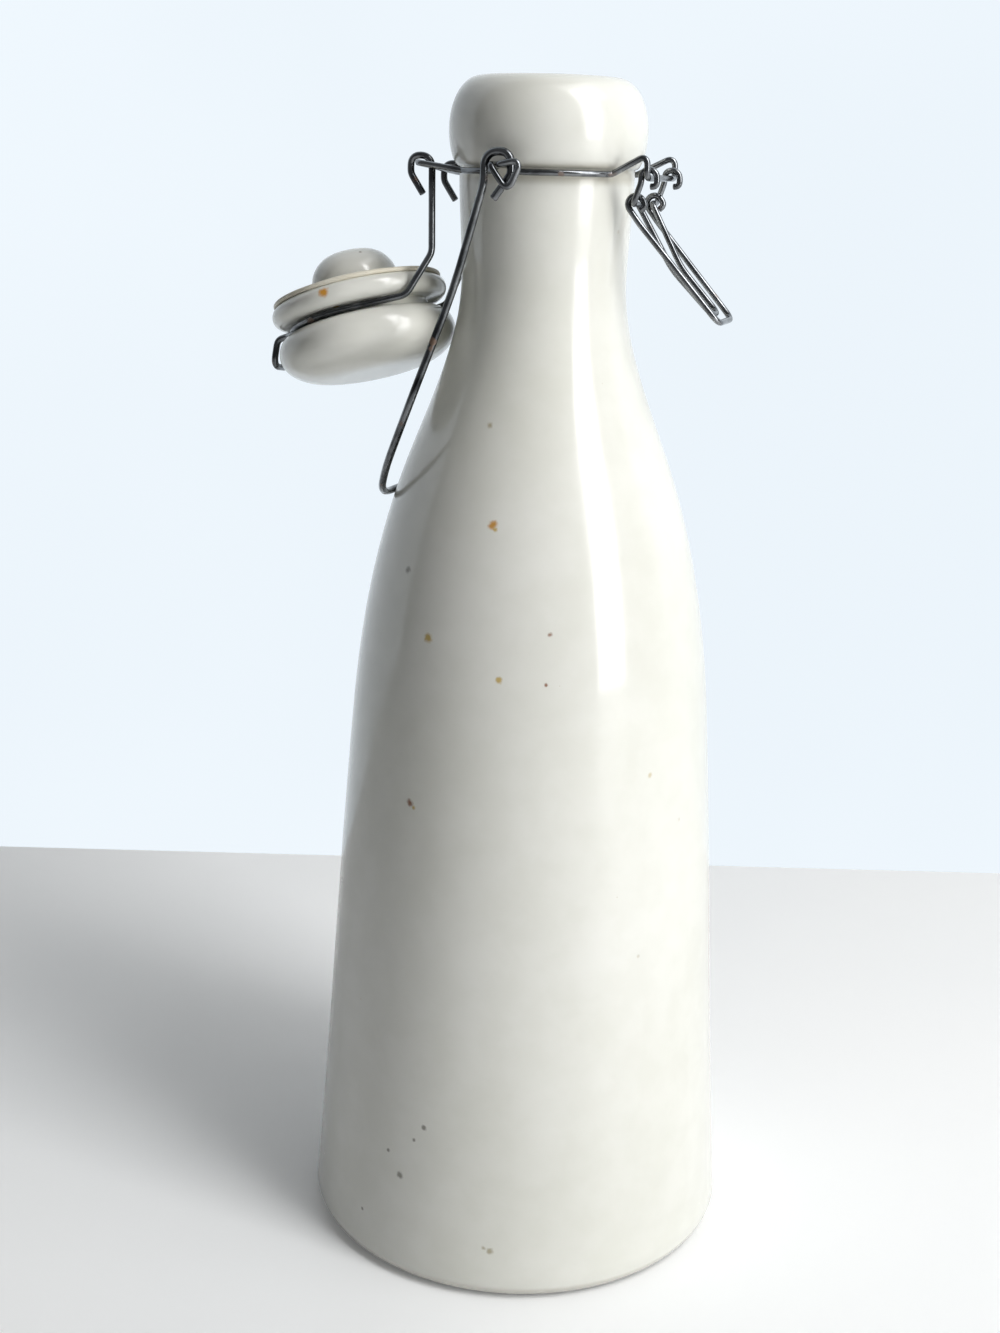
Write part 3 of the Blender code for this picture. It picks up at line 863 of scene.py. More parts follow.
@dataclass
class BottleBody:
    """The turned bottle: foot, tapering body, shoulder, neck, groove and lip round the mouth."""

    height: float = 285.0 * MM
    base_radius: float = 53.8 * MM
    base_round: float = 4.5 * MM
    body_top: Point2 = (44.1 * MM, 138.0 * MM)
    shoulder: Point2 = (30.6 * MM, 200.0 * MM)
    neck: Point2 = (19.4 * MM, 240.0 * MM)
    groove_step: float = 0.9 * MM
    lip_height: float = 20.8 * MM
    lip_radius: float = 22.9 * MM
    lip_widest_drop: float = 11.5 * MM
    lip_top_radius: float = 15.8 * MM
    mouth_radius: float = 13.4 * MM
    mouth_round: float = 2.1 * MM
    mouth_length: float = 24.0 * MM
    wall: float = 4.6 * MM
    floor: float = 6.5 * MM
    body_slope: float = -0.085
    shoulder_slope: float = -0.39
    foot_face: Point2 = (2.2 * MM, 1.2 * MM)
    neck_run: float = 12.0 * MM
    floor_round: float = 7.0 * MM
    segments: int = 192

    @property
    def groove_z(self) -> float:
        """Height of the groove that the neck wire lies in."""
        return self.height - self.lip_height

    @property
    def groove_radius(self) -> float:
        """Radius of the bottle in the groove."""
        return self.neck[0] + self.groove_step

    @cached_property
    def outside(self) -> list[Point2]:
        """The outline from the foot to the top of the lip.

        Returns:
            The points as (radius, height).
        """
        edge = self.base_round
        points = [(self.base_radius - edge - inset, 0.0) for inset in self.foot_face]
        points += ellipse_arc((self.base_radius - edge, edge), (edge, edge), (-90, -10), 14)
        slopes = (self.body_slope, self.body_slope)
        points += hermite(points[-1], self.body_top, slopes, 44)[1:]
        points += hermite(self.body_top, self.shoulder, (self.body_slope, self.shoulder_slope), 34)
        points += hermite(self.shoulder, self.neck, (self.shoulder_slope, 0.0), 28)
        points += hermite(self.neck, (self.groove_radius, self.groove_z), (0.0, 0.0), 16)
        widest = self.height - self.lip_widest_drop
        under = widest - self.groove_z - WireGauge.NECK.value - GAP
        size = (self.lip_radius - self.groove_radius, under)
        points += ellipse_arc((self.groove_radius, widest), size, (-90, 0), 16)[:-1]
        size = (self.lip_radius - self.lip_top_radius, self.lip_widest_drop)
        points += ellipse_arc((self.lip_top_radius, widest), size, (0, 90), 24)
        return points

    @cached_property
    def inside(self) -> list[Point2]:
        """The outline from the mouth's rounded rim down to the middle of the floor.

        Returns:
            The points as (radius, height).
        """
        edge = self.mouth_round
        rim = (self.mouth_radius + edge, self.height - edge)
        points = ellipse_arc(rim, (edge, edge), (90, 180), 12)
        mouth_end = (self.mouth_radius, self.height - self.mouth_length)
        neck = (self.neck[0] - self.wall, mouth_end[1] - self.neck_run)
        shoulder = (self.shoulder[0] - self.wall, self.shoulder[1])
        body = (self.body_top[0] - self.wall, self.body_top[1])
        low = (self.base_radius - self.wall, self.floor + self.floor_round)
        points += hermite(mouth_end, neck, (0.0, 0.0), 8)
        points += hermite(neck, shoulder, (0.0, self.shoulder_slope), 16)
        points += hermite(shoulder, body, (self.shoulder_slope, self.body_slope), 14)
        points += hermite(body, low, (self.body_slope, self.body_slope), 12)
        size = (self.floor_round, self.floor_round)
        points += ellipse_arc((low[0] - self.floor_round, low[1]), size, (0, -90), 8)
        points.append((0.0, self.floor))
        return points

    def waver(self, angle: float, height: float) -> float:
        """How far the clay lies off its true circle, from hand work and firing.

        Args:
            angle: Angle round the bottle.
            height: Height on the bottle.

        Returns:
            The change of radius, which is never outwards.
        """
        oval = math.sin(2.0 * angle + 0.7 + 11.0 * height)
        lobes = 0.6 * math.sin(3.0 * angle - 29.0 * height)
        return (-0.08 + 0.045 * (oval + lobes) / 1.6) * MM

    def radius_at(self, height: float) -> float:
        """Finds the outside radius at a height.

        Args:
            height: A height between the foot and the lip.

        Returns:
            The radius.
        """
        for lower, upper in zip(self.outside, self.outside[1:]):
            if lower[1] <= height <= upper[1] and upper[1] > lower[1]:
                share = (height - lower[1]) / (upper[1] - lower[1])
                return lower[0] + (upper[0] - lower[0]) * share
        raise ValueError(f"The bottle has no outside at a height of {height} m.")

    def stains(self) -> list[Stain]:
        """The larger specks of the glaze, the last four on the side that the photograph doesn't show.

        Returns:
            The stains, each on the outside of the bottle.
        """
        marks = (
            Mark(-88.1, 188.1, 1.5, StainTone.OCHRE),
            Mark(-87.0, 187.2, 0.8, StainTone.PALE_OCHRE),
            Mark(-107.4, 161.4, 1.5, StainTone.PALE_OCHRE),
            Mark(-66.4, 164.9, 0.8, StainTone.BROWN),
            Mark(-81.8, 154.3, 1.1, StainTone.PALE_OCHRE),
            Mark(-67.3, 153.7, 0.6, StainTone.BROWN),
            Mark(-109.1, 122.0, 1.3, StainTone.BROWN),
            Mark(-107.6, 121.2, 0.7, StainTone.PALE_OCHRE),
            Mark(-147.9, 91.2, 1.2, StainTone.GREY),
            Mark(-32.5, 130.3, 0.9, StainTone.SAND),
            Mark(-98.1, 42.0, 1.0, StainTone.GREY),
            Mark(-101.0, 38.0, 0.7, StainTone.GREY),
            Mark(-109.6, 32.5, 0.7, StainTone.GREY),
            Mark(-104.9, 27.4, 1.3, StainTone.GREY),
            Mark(-118.1, 13.0, 0.7, StainTone.GREY),
            Mark(-77.9, 13.2, 1.1, StainTone.OLIVE),
            Mark(-79.6, 13.8, 0.8, StainTone.PALE_OLIVE),
            Mark(-96.3, 209.2, 1.0, StainTone.DULL_SAND),
            Mark(-121.8, 175.1, 1.2, StainTone.GREY),
            Mark(64.0, 150.0, 1.3, StainTone.OCHRE),
            Mark(118.0, 92.0, 1.1, StainTone.PALE_OCHRE),
            Mark(20.0, 182.0, 1.0, StainTone.GREY),
            Mark(170.0, 60.0, 1.2, StainTone.BROWN),
        )
        return [self.placed(mark) for mark in marks]

    def placed(self, mark: Mark) -> Stain:
        """Puts a mark on the outside of the bottle.

        Args:
            mark: The mark.

        Returns:
            The stain at its place in the bottle's frame.
        """
        angle = math.radians(mark.azimuth)
        radius = self.radius_at(mark.height * MM)
        place = (radius * math.cos(angle), radius * math.sin(angle), mark.height * MM)
        return Stain(place, mark.size * MM, mark.tone)

    def bands(self) -> list[Band]:
        """The bare foot, darkened as a painted contact shadow under the base, the thin glaze above it
        and a darker band round the groove under the lip.

        Returns:
            The three bands.
        """
        return [
            # Bare unglazed foot, made darker than bare clay as a painted contact shadow under the base.
            Band(0.0, 0.7 * MM, 0.8 * MM, (0.17, 0.165, 0.135), 0.55),
            Band(2.2 * MM, 0.3 * MM, 1.6 * MM, (0.62, 0.60, 0.54), 0.05),
            # A darker band round the groove under the lip.
            Band(self.groove_z, 0.9 * MM, 2.2 * MM, (0.58, 0.56, 0.48), 0.0),
        ]

    def build(self, glaze: Glaze) -> bpy.types.Object:
        """Builds and dresses the bottle.

        Args:
            glaze: The finish.

        Returns:
            The piece.
        """
        outline = [(0.0, 0.0)] + self.outside + self.inside
        mesh = turned_mesh("bottle_mesh", outline, self.segments, self.waver)
        finish = glaze.material("bottle_glaze", self.stains(), self.bands())
        return place_piece("bottle_body", mesh, finish, "bottle")


@dataclass
class NeckWire:
    """The wire round the neck, bent into a hinge bar, two eyelets and a latch bar."""

    bottle: BottleBody
    hinge_reach: float = 4.1 * MM
    hinge_rise: float = 0.5 * MM
    hinge_tilt: float = math.radians(4.3)
    hinge_half: float = 14.0 * MM
    handle_x: float = -3.0 * MM
    eyelet_rise: float = 1.4 * MM
    eyelet_spacing: float = 1.8 * MM
    eyelet_drop: float = 5.8 * MM
    latch_reach: float = 4.1 * MM
    latch_drop: float = 0.6 * MM
    latch_rise: float = 4.4 * MM
    latch_half: float = 12.5 * MM
    eye_clearance: float = 2.0 * MM
    eyelet_margin: float = 1.0 * MM
    eyelet_low_x: float = 3.4 * MM
    eyelet_far_x: float = 6.4 * MM
    eyelet_far_rise: float = 1.2 * MM
    wear: float = 0.45

    @property
    def ring(self) -> float:
        """Radius of the wire's middle line round the neck."""
        return self.bottle.groove_radius + WireGauge.NECK.value + GAP

    @property
    def hinge(self) -> Vector:
        """Middle of the hinge bar."""
        x = -(self.bottle.lip_radius + self.hinge_reach)
        return Vector((x, 0.0, self.bottle.groove_z + self.hinge_rise))

    @property
    def latch(self) -> Vector:
        """Middle of the latch bar."""
        x = self.bottle.lip_radius + self.latch_reach
        return Vector((x, 0.0, self.bottle.groove_z - self.latch_drop))

    @property
    def handle_z(self) -> float:
        """Height of the line that the handle turns on."""
        return self.bottle.groove_z + self.eyelet_rise

    @property
    def handle_y(self) -> float:
        """How far out each eye of the handle sits."""
        return self.bottle.lip_radius + self.eye_clearance + WireGauge.HANDLE.value

    def bar_height(self, y: float) -> float:
        """Height of the middle of the hinge bar at a place along it."""
        return self.hinge.z - y * math.tan(self.hinge_tilt)

    def eyelet(self, side: int) -> list[Corner]:
        """One eyelet that the handle hangs in.

        Args:
            side: The side of the neck, -1 or 1.

        Returns:
            Its corners, from the hinge side to the latch side.
        """
        x = self.handle_x
        z = self.handle_z
        half = 0.5 * self.eyelet_spacing
        wires = WireGauge.HANDLE.value + WireGauge.NECK.value
        inner = side * (self.ring + self.eyelet_margin)
        outer = side * (self.handle_y + wires + self.eyelet_margin)
        tight = 0.8 * MM
        return [
            corner(x - half, inner, z, tight),
            corner(x - half, outer, z, tight),
            corner(x + self.eyelet_low_x, outer, z - self.eyelet_drop, 1.2 * MM),
            corner(x + self.eyelet_far_x, outer, z + self.eyelet_far_rise, 1.0 * MM),
            corner(x + half, outer, z, tight),
            corner(x + half, inner, z, tight),
        ]

    def arc(self, first: float, last: float, steps: int) -> list[Corner]:
        """Part of the ring round the neck.

        Args:
            first: Angle that it starts at, in degrees from the latch.
            last: Angle that it ends at.
            steps: Number of spans.

        Returns:
            Its points.
        """
        points = []
        for step in range(steps + 1):
            angle = math.radians(first + (last - first) * step / steps)
            x = self.ring * math.cos(angle)
            y = self.ring * math.sin(angle)
            points.append(corner(x, y, self.bottle.groove_z))
        return points

    def build(self, steel: DrawnSteel) -> bpy.types.Object:
        """Builds and dresses the neck wire.

        Args:
            steel: The finish.

        Returns:
            The piece.
        """
        half = self.hinge_half
        path = [
            corner(self.hinge.x, half, self.bar_height(half), 2.0 * MM),
            corner(self.hinge.x, -half, self.bar_height(-half), 2.0 * MM),
        ]
        path += self.arc(-135, -108, 6) + self.eyelet(-1) + self.arc(-88, -30, 12)
        low = self.latch.z
        high = self.bottle.groove_z + self.latch_rise
        for side, z in ((-1, high), (-1, low), (1, low), (1, high)):
            path.append(corner(self.latch.x, side * self.latch_half, z, 1.2 * MM))
        path += self.arc(30, 88, 12) + list(reversed(self.eyelet(1))) + self.arc(108, 135, 6)
        mesh = swept_wire("neck_wire_mesh", path, WireGauge.NECK, cyclic=True)
        finish = steel.material("neck_steel", self.wear)
        return place_piece("neck_wire", mesh, finish, "bottle")


@dataclass
class SwingStopper:
    """The ceramic stopper with its sealing ring and the wire that it swings on.

    Its parts are shaped where they seal the mouth, then placed where the stopper hangs open.
    """

    neck: NeckWire
    plug_radius: float = 10.6 * MM
    plug_length: float = 7.5 * MM
    plug_round: float = 7.0 * MM
    flange_radius: float = 21.4 * MM
    flange_thickness: float = 5.0 * MM
    waist_radius: float = 16.0 * MM
    dome_radius: float = 21.6 * MM
    dome_edge: float = 5.0 * MM
    dome_height: float = 12.6 * MM
    gasket_radius: float = 20.6 * MM
    gasket_thickness: float = 2.0 * MM
    arm_y: float = 10.5 * MM
    arm_inset: float = 2.1 * MM
    arm_length: float = 21.0 * MM
    turn: Point2 = (17.2 * MM, 12.5 * MM)
    eye: float = 2.6 * MM
    tab_reach: float = 2.6 * MM
    tab_half: float = 4.0 * MM
    tab_rise: float = 6.0 * MM
    open_angle: float = math.radians(197.5)
    waist_round: float = 0.5 * MM
    dome_edge_width: float = 4.2 * MM
    dome_crown: float = 13.0 * MM
    gasket_bevel: float = 3.0 * MM
    gasket_edge: float = 0.5 * MM
    gasket_tip: float = 0.55 * MM
    gasket_round: float = 0.4 * MM
    hook_end: Point2 = (0.4 * MM, 6.6 * MM)
    hook_drop: float = 2.2 * MM
    ring_steps: int = 20
    ring_angles: Point2 = (105.0, 20.0)
    wear: float = 0.35
    segments: int = 144

    @property
    def flange_z(self) -> float:
        """Height of the flange's underside when the bottle is sealed."""
        return self.neck.bottle.height + self.gasket_thickness + 2.0 * GAP

    @property
    def flange_top(self) -> float:
        """Height of the flange's other side when the bottle is sealed."""
        return self.flange_z + self.flange_thickness

    @property
    def dome_z(self) -> float:
        """Height of the dome's edge when the bottle is sealed."""
        return self.flange_top + 2.0 * (WireGauge.BAIL.value + GAP)

    @property
    def wire_z(self) -> float:
        """Height of the wire in the waist when the bottle is sealed."""
        return 0.5 * (self.flange_top + self.dome_z)

    def placing(self) -> Matrix:
        """The transform from the sealed pose to the open one.

        Returns:
            The turn about the hinge bar.
        """
        tilt = self.neck.hinge_tilt
        axis = Vector((0.0, math.cos(tilt), -math.sin(tilt)))
        spin = Matrix.Rotation(-self.open_angle, 4, axis)
        hinge = self.neck.hinge
        return Matrix.Translation(hinge) @ spin @ Matrix.Translation(-hinge)

    def outline(self) -> list[Point2]:
        """The outline of the plug, flange, waist and domed cap.

        Returns:
            The points as (radius, height).
        """
        below = self.neck.bottle.height + GAP
        inner = self.plug_radius - self.plug_round
        points = [(0.0, below - self.plug_length)]
        points += ellipse_arc((inner, below), (self.plug_round, self.plug_length), (-88, 0), 20)
        points.append((self.plug_radius, self.flange_z))
        rim = 0.5 * self.flange_thickness
        points += ellipse_arc((self.flange_radius - rim, self.flange_z + rim), (rim, rim), (-90, 90), 24)
        soft = self.waist_round
        waist = self.waist_radius + soft
        points += ellipse_arc((waist, self.flange_top + soft), (soft, soft), (270, 180), 6)
        points += ellipse_arc((waist, self.dome_z - soft), (soft, soft), (180, 90), 6)
        widest = self.dome_z + self.dome_edge
        size = (self.dome_edge_width, self.dome_edge)
        points += ellipse_arc((self.dome_radius - size[0], widest), size, (-90, 0), 16)[:-1]
        size = (self.dome_crown, self.dome_height - self.dome_edge)
        points += ellipse_arc((self.dome_radius - size[0], widest), size, (0, 90), 26)
        points.append((0.0, self.dome_z + self.dome_height))
        return points

    def waver(self, angle: float, height: float) -> float:
        """How far the stopper's clay lies off its true circle."""
        return (-0.05 + 0.04 * math.sin(3.0 * angle + 70.0 * height)) * MM

    def head(self, glaze: Glaze) -> bpy.types.Object:
        """Builds and dresses the ceramic stopper.

        Args:
            glaze: The finish.

        Returns:
            The piece.
        """
        mesh = turned_mesh("stopper_mesh", self.outline(), self.segments, self.waver)
        mesh.transform(self.placing())
        stains = [
            Stain((-0.0450, -0.0253, 0.2365), 1.7 * MM, StainTone.ORANGE),
            Stain((-0.0438, -0.0207, 0.2329), 1.1 * MM, StainTone.RUSTY),
            Stain((-0.0431, -0.0087, 0.2450), 0.6 * MM, StainTone.SMOKE),
        ]
        finish = glaze.material("stopper_glaze", stains, [])
        return place_piece("stopper_head", mesh, finish, "stopper")

    def flange_dip(self, radius: float) -> float:
        """How far the flange's rounded edge lies behind its flat face.

        Args:
            radius: Distance from the stopper's middle line.

        Returns:
            The depth, which is nothing on the flat face.
        """
        rim = 0.5 * self.flange_thickness
        past = max(0.0, radius - self.flange_radius + rim)
        return rim - math.sqrt(rim * rim - past * past)

    def squeeze(self, angle: float, height: float) -> float:
        """How far the soft ring is drawn in at an angle, the same at every height."""
        del height
        return (-0.12 - 0.10 * math.sin(2.0 * angle + 1.0) * math.cos(angle)) * MM

    def gasket(self, rubber: SealRubber) -> bpy.types.Object:
        """Builds and dresses the sealing ring, whose thin edge droops over the round of the flange.

        Args:
            rubber: The finish.

        Returns:
            The piece.
        """
        inner = self.plug_radius + GAP
        outer = self.gasket_radius - self.gasket_edge
        seat = self.flange_z - 0.25 * GAP
        low = self.flange_z - GAP - self.gasket_thickness
        soft = self.gasket_round
        points = [(inner, seat)]
        points += ellipse_arc((inner + soft, low + soft), (soft, soft), (180, 270), 4)
        points.append((inner + self.gasket_bevel, low))
        size = (self.gasket_edge, self.gasket_tip)
        points += ellipse_arc((outer, seat + self.flange_dip(outer) - size[1]), size, (-60, 90), 8)
        flat = self.flange_radius - 0.5 * self.flange_thickness
        for share in (0.6, 0.3, 0.0):
            radius = flat + share * (outer - flat)
            points.append((radius, seat + self.flange_dip(radius)))
        mesh = turned_mesh("gasket_mesh", points, self.segments, self.squeeze)
        mesh.transform(self.placing())
        centre = self.placing() @ Vector((0.0, 0.0, seat))
        finish = rubber.material("gasket_rubber", centre, self.gasket_radius)
        return place_piece("gasket", mesh, finish, "stopper")

    def bail_side(self, side: int) -> list[Corner]:
        """One side of the stopper's wire.

        Args:
            side: The side of the bottle, -1 or 1.

        Returns:
            Its corners, from its eye on the hinge bar to its tab.
        """
        y = side * self.arm_y
        hinge = self.neck.hinge
        bar = self.neck.bar_height(y)
        top = bar + WireGauge.NECK.value + WireGauge.BAIL.value + GAP
        path = [
            corner(hinge.x + self.hook_end[0], y, bar - self.hook_end[1]),
            corner(hinge.x - self.eye, y, bar - self.hook_drop, 1.6 * MM),
            corner(hinge.x - self.eye, y, top, self.eye),
            corner(hinge.x + self.eye, y, top, self.eye),
        ]
        level = self.wire_z
        sealed = [
            corner(hinge.x + self.arm_inset, y, hinge.z + self.arm_length, 4.0 * MM),
            corner(-self.turn[0], side * self.turn[1], level, 3.0 * MM),
        ]
        ring = self.waist_radius + GAP + WireGauge.BAIL.value
        first, last = self.ring_angles
        for step in range(self.ring_steps + 1):
            angle = math.radians(first + (last - first) * step / self.ring_steps)
            sealed.append(corner(ring * math.cos(angle), side * ring * math.sin(angle), level))
        tab = side * self.tab_half
        tip = self.dome_radius + self.tab_reach
        sealed += [
            corner(ring + 1.5 * MM, tab, level, 1.5 * MM),
            corner(self.dome_radius, tab, level, 1.8 * MM),
            corner(tip, tab, level + self.tab_rise, 2.4 * MM),
        ]
        placing = self.placing()
        return path + [(placing @ point, bend) for point, bend in sealed]

    def bail(self, steel: DrawnSteel) -> bpy.types.Object:
        """Builds and dresses the stopper's wire.

        Args:
            steel: The finish.

        Returns:
            The piece.
        """
        mesh = swept_wire("bail_mesh", mirrored(self.bail_side), WireGauge.BAIL)
        finish = steel.material("bail_steel", self.wear)
        return place_piece("stopper_bail", mesh, finish, "bail")

    def build(self, glaze: Glaze, rubber: SealRubber, steel: DrawnSteel) -> list[bpy.types.Object]:
        """Builds and dresses the stopper, its ring and its wire.

        Args:
            glaze: Finish of the stopper.
            rubber: Finish of the ring.
            steel: Finish of the wire.

        Returns:
            The three pieces.
        """
        return [self.head(glaze), self.gasket(rubber), self.bail(steel)]


@dataclass(frozen=True)
class HandleBend:
    """One bend of the handle's leg.

    It lies at a share of the way down, at a half width, bowed outwards by a share of the full bow,
    with a radius of its own.
    """

    share: float
    half_width: float
    bow_share: float
    radius: float


@dataclass
class CarryHandle:
    """The long wire handle, hung in the neck wire's eyelets."""

    neck: NeckWire
    eye: float = 3.1 * MM
    drop: float = 77.4 * MM
    bow: float = 4.8 * MM
    bends: tuple[HandleBend, ...] = (
        HandleBend(0.35, 26.2 * MM, 0.8, 90.0 * MM),
        HandleBend(0.70, 29.75 * MM, 1.0, 26.0 * MM),
        HandleBend(0.885, 23.0 * MM, 0.5, 28.0 * MM),
    )
    corner_y: float = 13.0 * MM
    corner_round: float = 16.0 * MM
    hook_end: Point2 = (0.7 * MM, 7.0 * MM)
    hook_drop: float = 2.0 * MM
    leg_start: float = 4.0 * MM
    wear: float = 0.18

    def bottom_x(self) -> float:
        """How far out the handle's bottom lies, a gap clear of the shoulder.

        Returns:
            Its place along X, which is less than nothing.
        """
        level = self.neck.handle_z - self.drop
        reach = WireGauge.HANDLE.value + GAP
        widest = 0.0
        for radius, height in self.neck.bottle.outside:
            rise = abs(height - level)
            if rise < reach:
                widest = max(widest, radius + math.sqrt(reach**2 - rise**2))
        return -widest

    def side(self, side: int) -> list[Corner]:
        """One side of the handle.

        Args:
            side: The side of the bottle, -1 or 1.

        Returns:
            Its corners, from the end of its eye to its bottom corner.
        """
        x = self.neck.handle_x
        y = side * self.neck.handle_y
        z = self.neck.handle_z
        wires = WireGauge.NECK.value + WireGauge.HANDLE.value
        top = z + 0.5 * self.neck.eyelet_spacing + wires + GAP
        start = x - self.eye
        bottom = self.bottom_x()
        path = [
            corner(x - self.hook_end[0], y, z - self.hook_end[1]),
            corner(x + self.eye, y, z - self.hook_drop, 1.8 * MM),
            corner(x + self.eye, y, top, self.eye),
            corner(start, y, top, self.eye),
            corner(start, y, z - self.leg_start, 9.0 * MM),
        ]
        for bend in self.bends:
            out = start + bend.share * (bottom - start) + bend.bow_share * self.bow
            path.append(corner(out, side * bend.half_width, z - bend.share * self.drop, bend.radius))
        path.append(corner(bottom, side * self.corner_y, z - self.drop, self.corner_round))
        return path

    def build(self, steel: DrawnSteel) -> bpy.types.Object:
        """Builds and dresses the handle.

        Args:
            steel: The finish.

        Returns:
            The piece.
        """
        mesh = swept_wire("handle_mesh", mirrored(self.side), WireGauge.HANDLE)
        finish = steel.material("handle_steel", self.wear)
        return place_piece("carry_handle", mesh, finish, "handle")


@dataclass
class WireLatch:
    """The latch in front: a cranked lever on the neck wire and the loop that it draws down."""

    neck: NeckWire
    eye: float = 1.8 * MM
    arm_y: float = 10.4 * MM
    crank_in: float = 3.4 * MM
    crank_drop: float = 5.6 * MM
    crank_width: float = 4.2 * MM
    lever_length: float = 29.5 * MM
    lever_tip: float = 3.0 * MM
    lever_angle: float = math.radians(36.5)
    lever_hook: float = 0.5 * MM
    lever_bow: Point3 = (-1.6 * MM, 0.0, -0.9 * MM)
    lever_bow_share: float = 0.55
    loop_length: float = 32.2 * MM
    loop_tip: float = 7.0 * MM
    loop_angle: float = math.radians(38.5)
    loop_hook: float = 0.2 * MM
    loop_neck: float = 4.0 * MM
    wear: float = 0.55

    @property
    def crank(self) -> Vector:
        """Middle of the line that the pull loop turns on."""
        return self.neck.latch - Vector((self.crank_in, 0.0, self.crank_drop))

    def lever_side(self, side: int) -> list[Corner]:
        """One side of the lever.

        Args:
            side: The side of the bottle, -1 or 1.

        Returns:
            Its corners, from its eye on the latch bar to its tip.
        """
        y = side * self.arm_y
        eye = self.eye
        bar = self.neck.latch
        inner = self.crank + Vector((0.0, side * (self.arm_y - self.crank_width), 0.0))
        fall = Vector((math.sin(self.lever_angle), 0.0, -math.cos(self.lever_angle)))
        tip = self.crank + fall * self.lever_length + Vector((0.0, side * self.lever_tip, 0.0))
        bowed = inner.lerp(tip, self.lever_bow_share) + Vector(self.lever_bow)
        return [
            corner(bar.x + self.lever_hook, y, bar.z - eye),
            corner(bar.x + eye, y, bar.z - eye, 1.2 * MM),
            corner(bar.x + eye, y, bar.z + eye, eye),
            corner(bar.x - eye, y, bar.z + eye, eye),
            corner(bar.x - eye, y, bar.z - 1.0 * MM, 1.5 * MM),
            corner(self.crank.x, y, self.crank.z, 0.8 * MM),
            (inner, 0.8 * MM),
            (bowed, 20.0 * MM),
            (tip, 2.2 * MM),
        ]

    def loop_side(self, side: int) -> list[Corner]:
        """One side of the pull loop.

        Args:
            side: The side of the bottle, -1 or 1.

        Returns:
            Its corners, from its eye on the crank to its closed end.
        """
        eye = self.eye
        down = Vector((math.sin(self.loop_angle), 0.0, -math.cos(self.loop_angle)))
        out = Vector((math.cos(self.loop_angle), 0.0, math.sin(self.loop_angle)))
        start = self.crank + Vector((0.0, side * (self.arm_y - 0.5 * self.crank_width), 0.0))
        tip = self.crank + down * self.loop_length + Vector((0.0, side * self.loop_tip, 0.0))
        return [
            (start + down * eye + out * self.loop_hook, 0.0),
            (start + down * eye + out * eye, 1.2 * MM),
            (start - down * eye + out * eye, eye),
            (start - down * eye - out * eye, eye),
            (start + down * self.loop_neck - out * eye, 6.0 * MM),
            (tip, 2.4 * MM),
        ]

    def build(self, steel: DrawnSteel) -> list[bpy.types.Object]:
        """Builds and dresses the lever and the pull loop.

        Args:
            steel: The finish.

        Returns:
            The two pieces.
        """
        finish = steel.material("latch_steel", self.wear)
        lever = swept_wire("lever_mesh", mirrored(self.lever_side), WireGauge.LATCH)
        loop = swept_wire("pull_loop_mesh", mirrored(self.loop_side), WireGauge.LATCH)
        return [
            place_piece("latch_lever", lever, finish, "lever"),
            place_piece("latch_pull_loop", loop, finish, "pull_loop"),
        ]


@dataclass(frozen=True)
class SoftLight:
    """One soft white lamp, aimed at the bottle."""

    name: str
    place: Point3
    target: Point3
    size: Point2
    power: float

    def build(self) -> None:
        """Adds the lamp to the scene."""
        data = bpy.data.lights.new(self.name, "AREA")
        data.shape = "RECTANGLE"
        data.size, data.size_y = self.size
        data.energy = self.power
        lamp = bpy.data.objects.new(self.name, data)
        bpy.context.scene.collection.objects.link(lamp)
        lamp.location = self.place
        aim = Vector(self.target) - Vector(self.place)
        lamp.rotation_euler = aim.to_track_quat("-Z", "Y").to_euler()


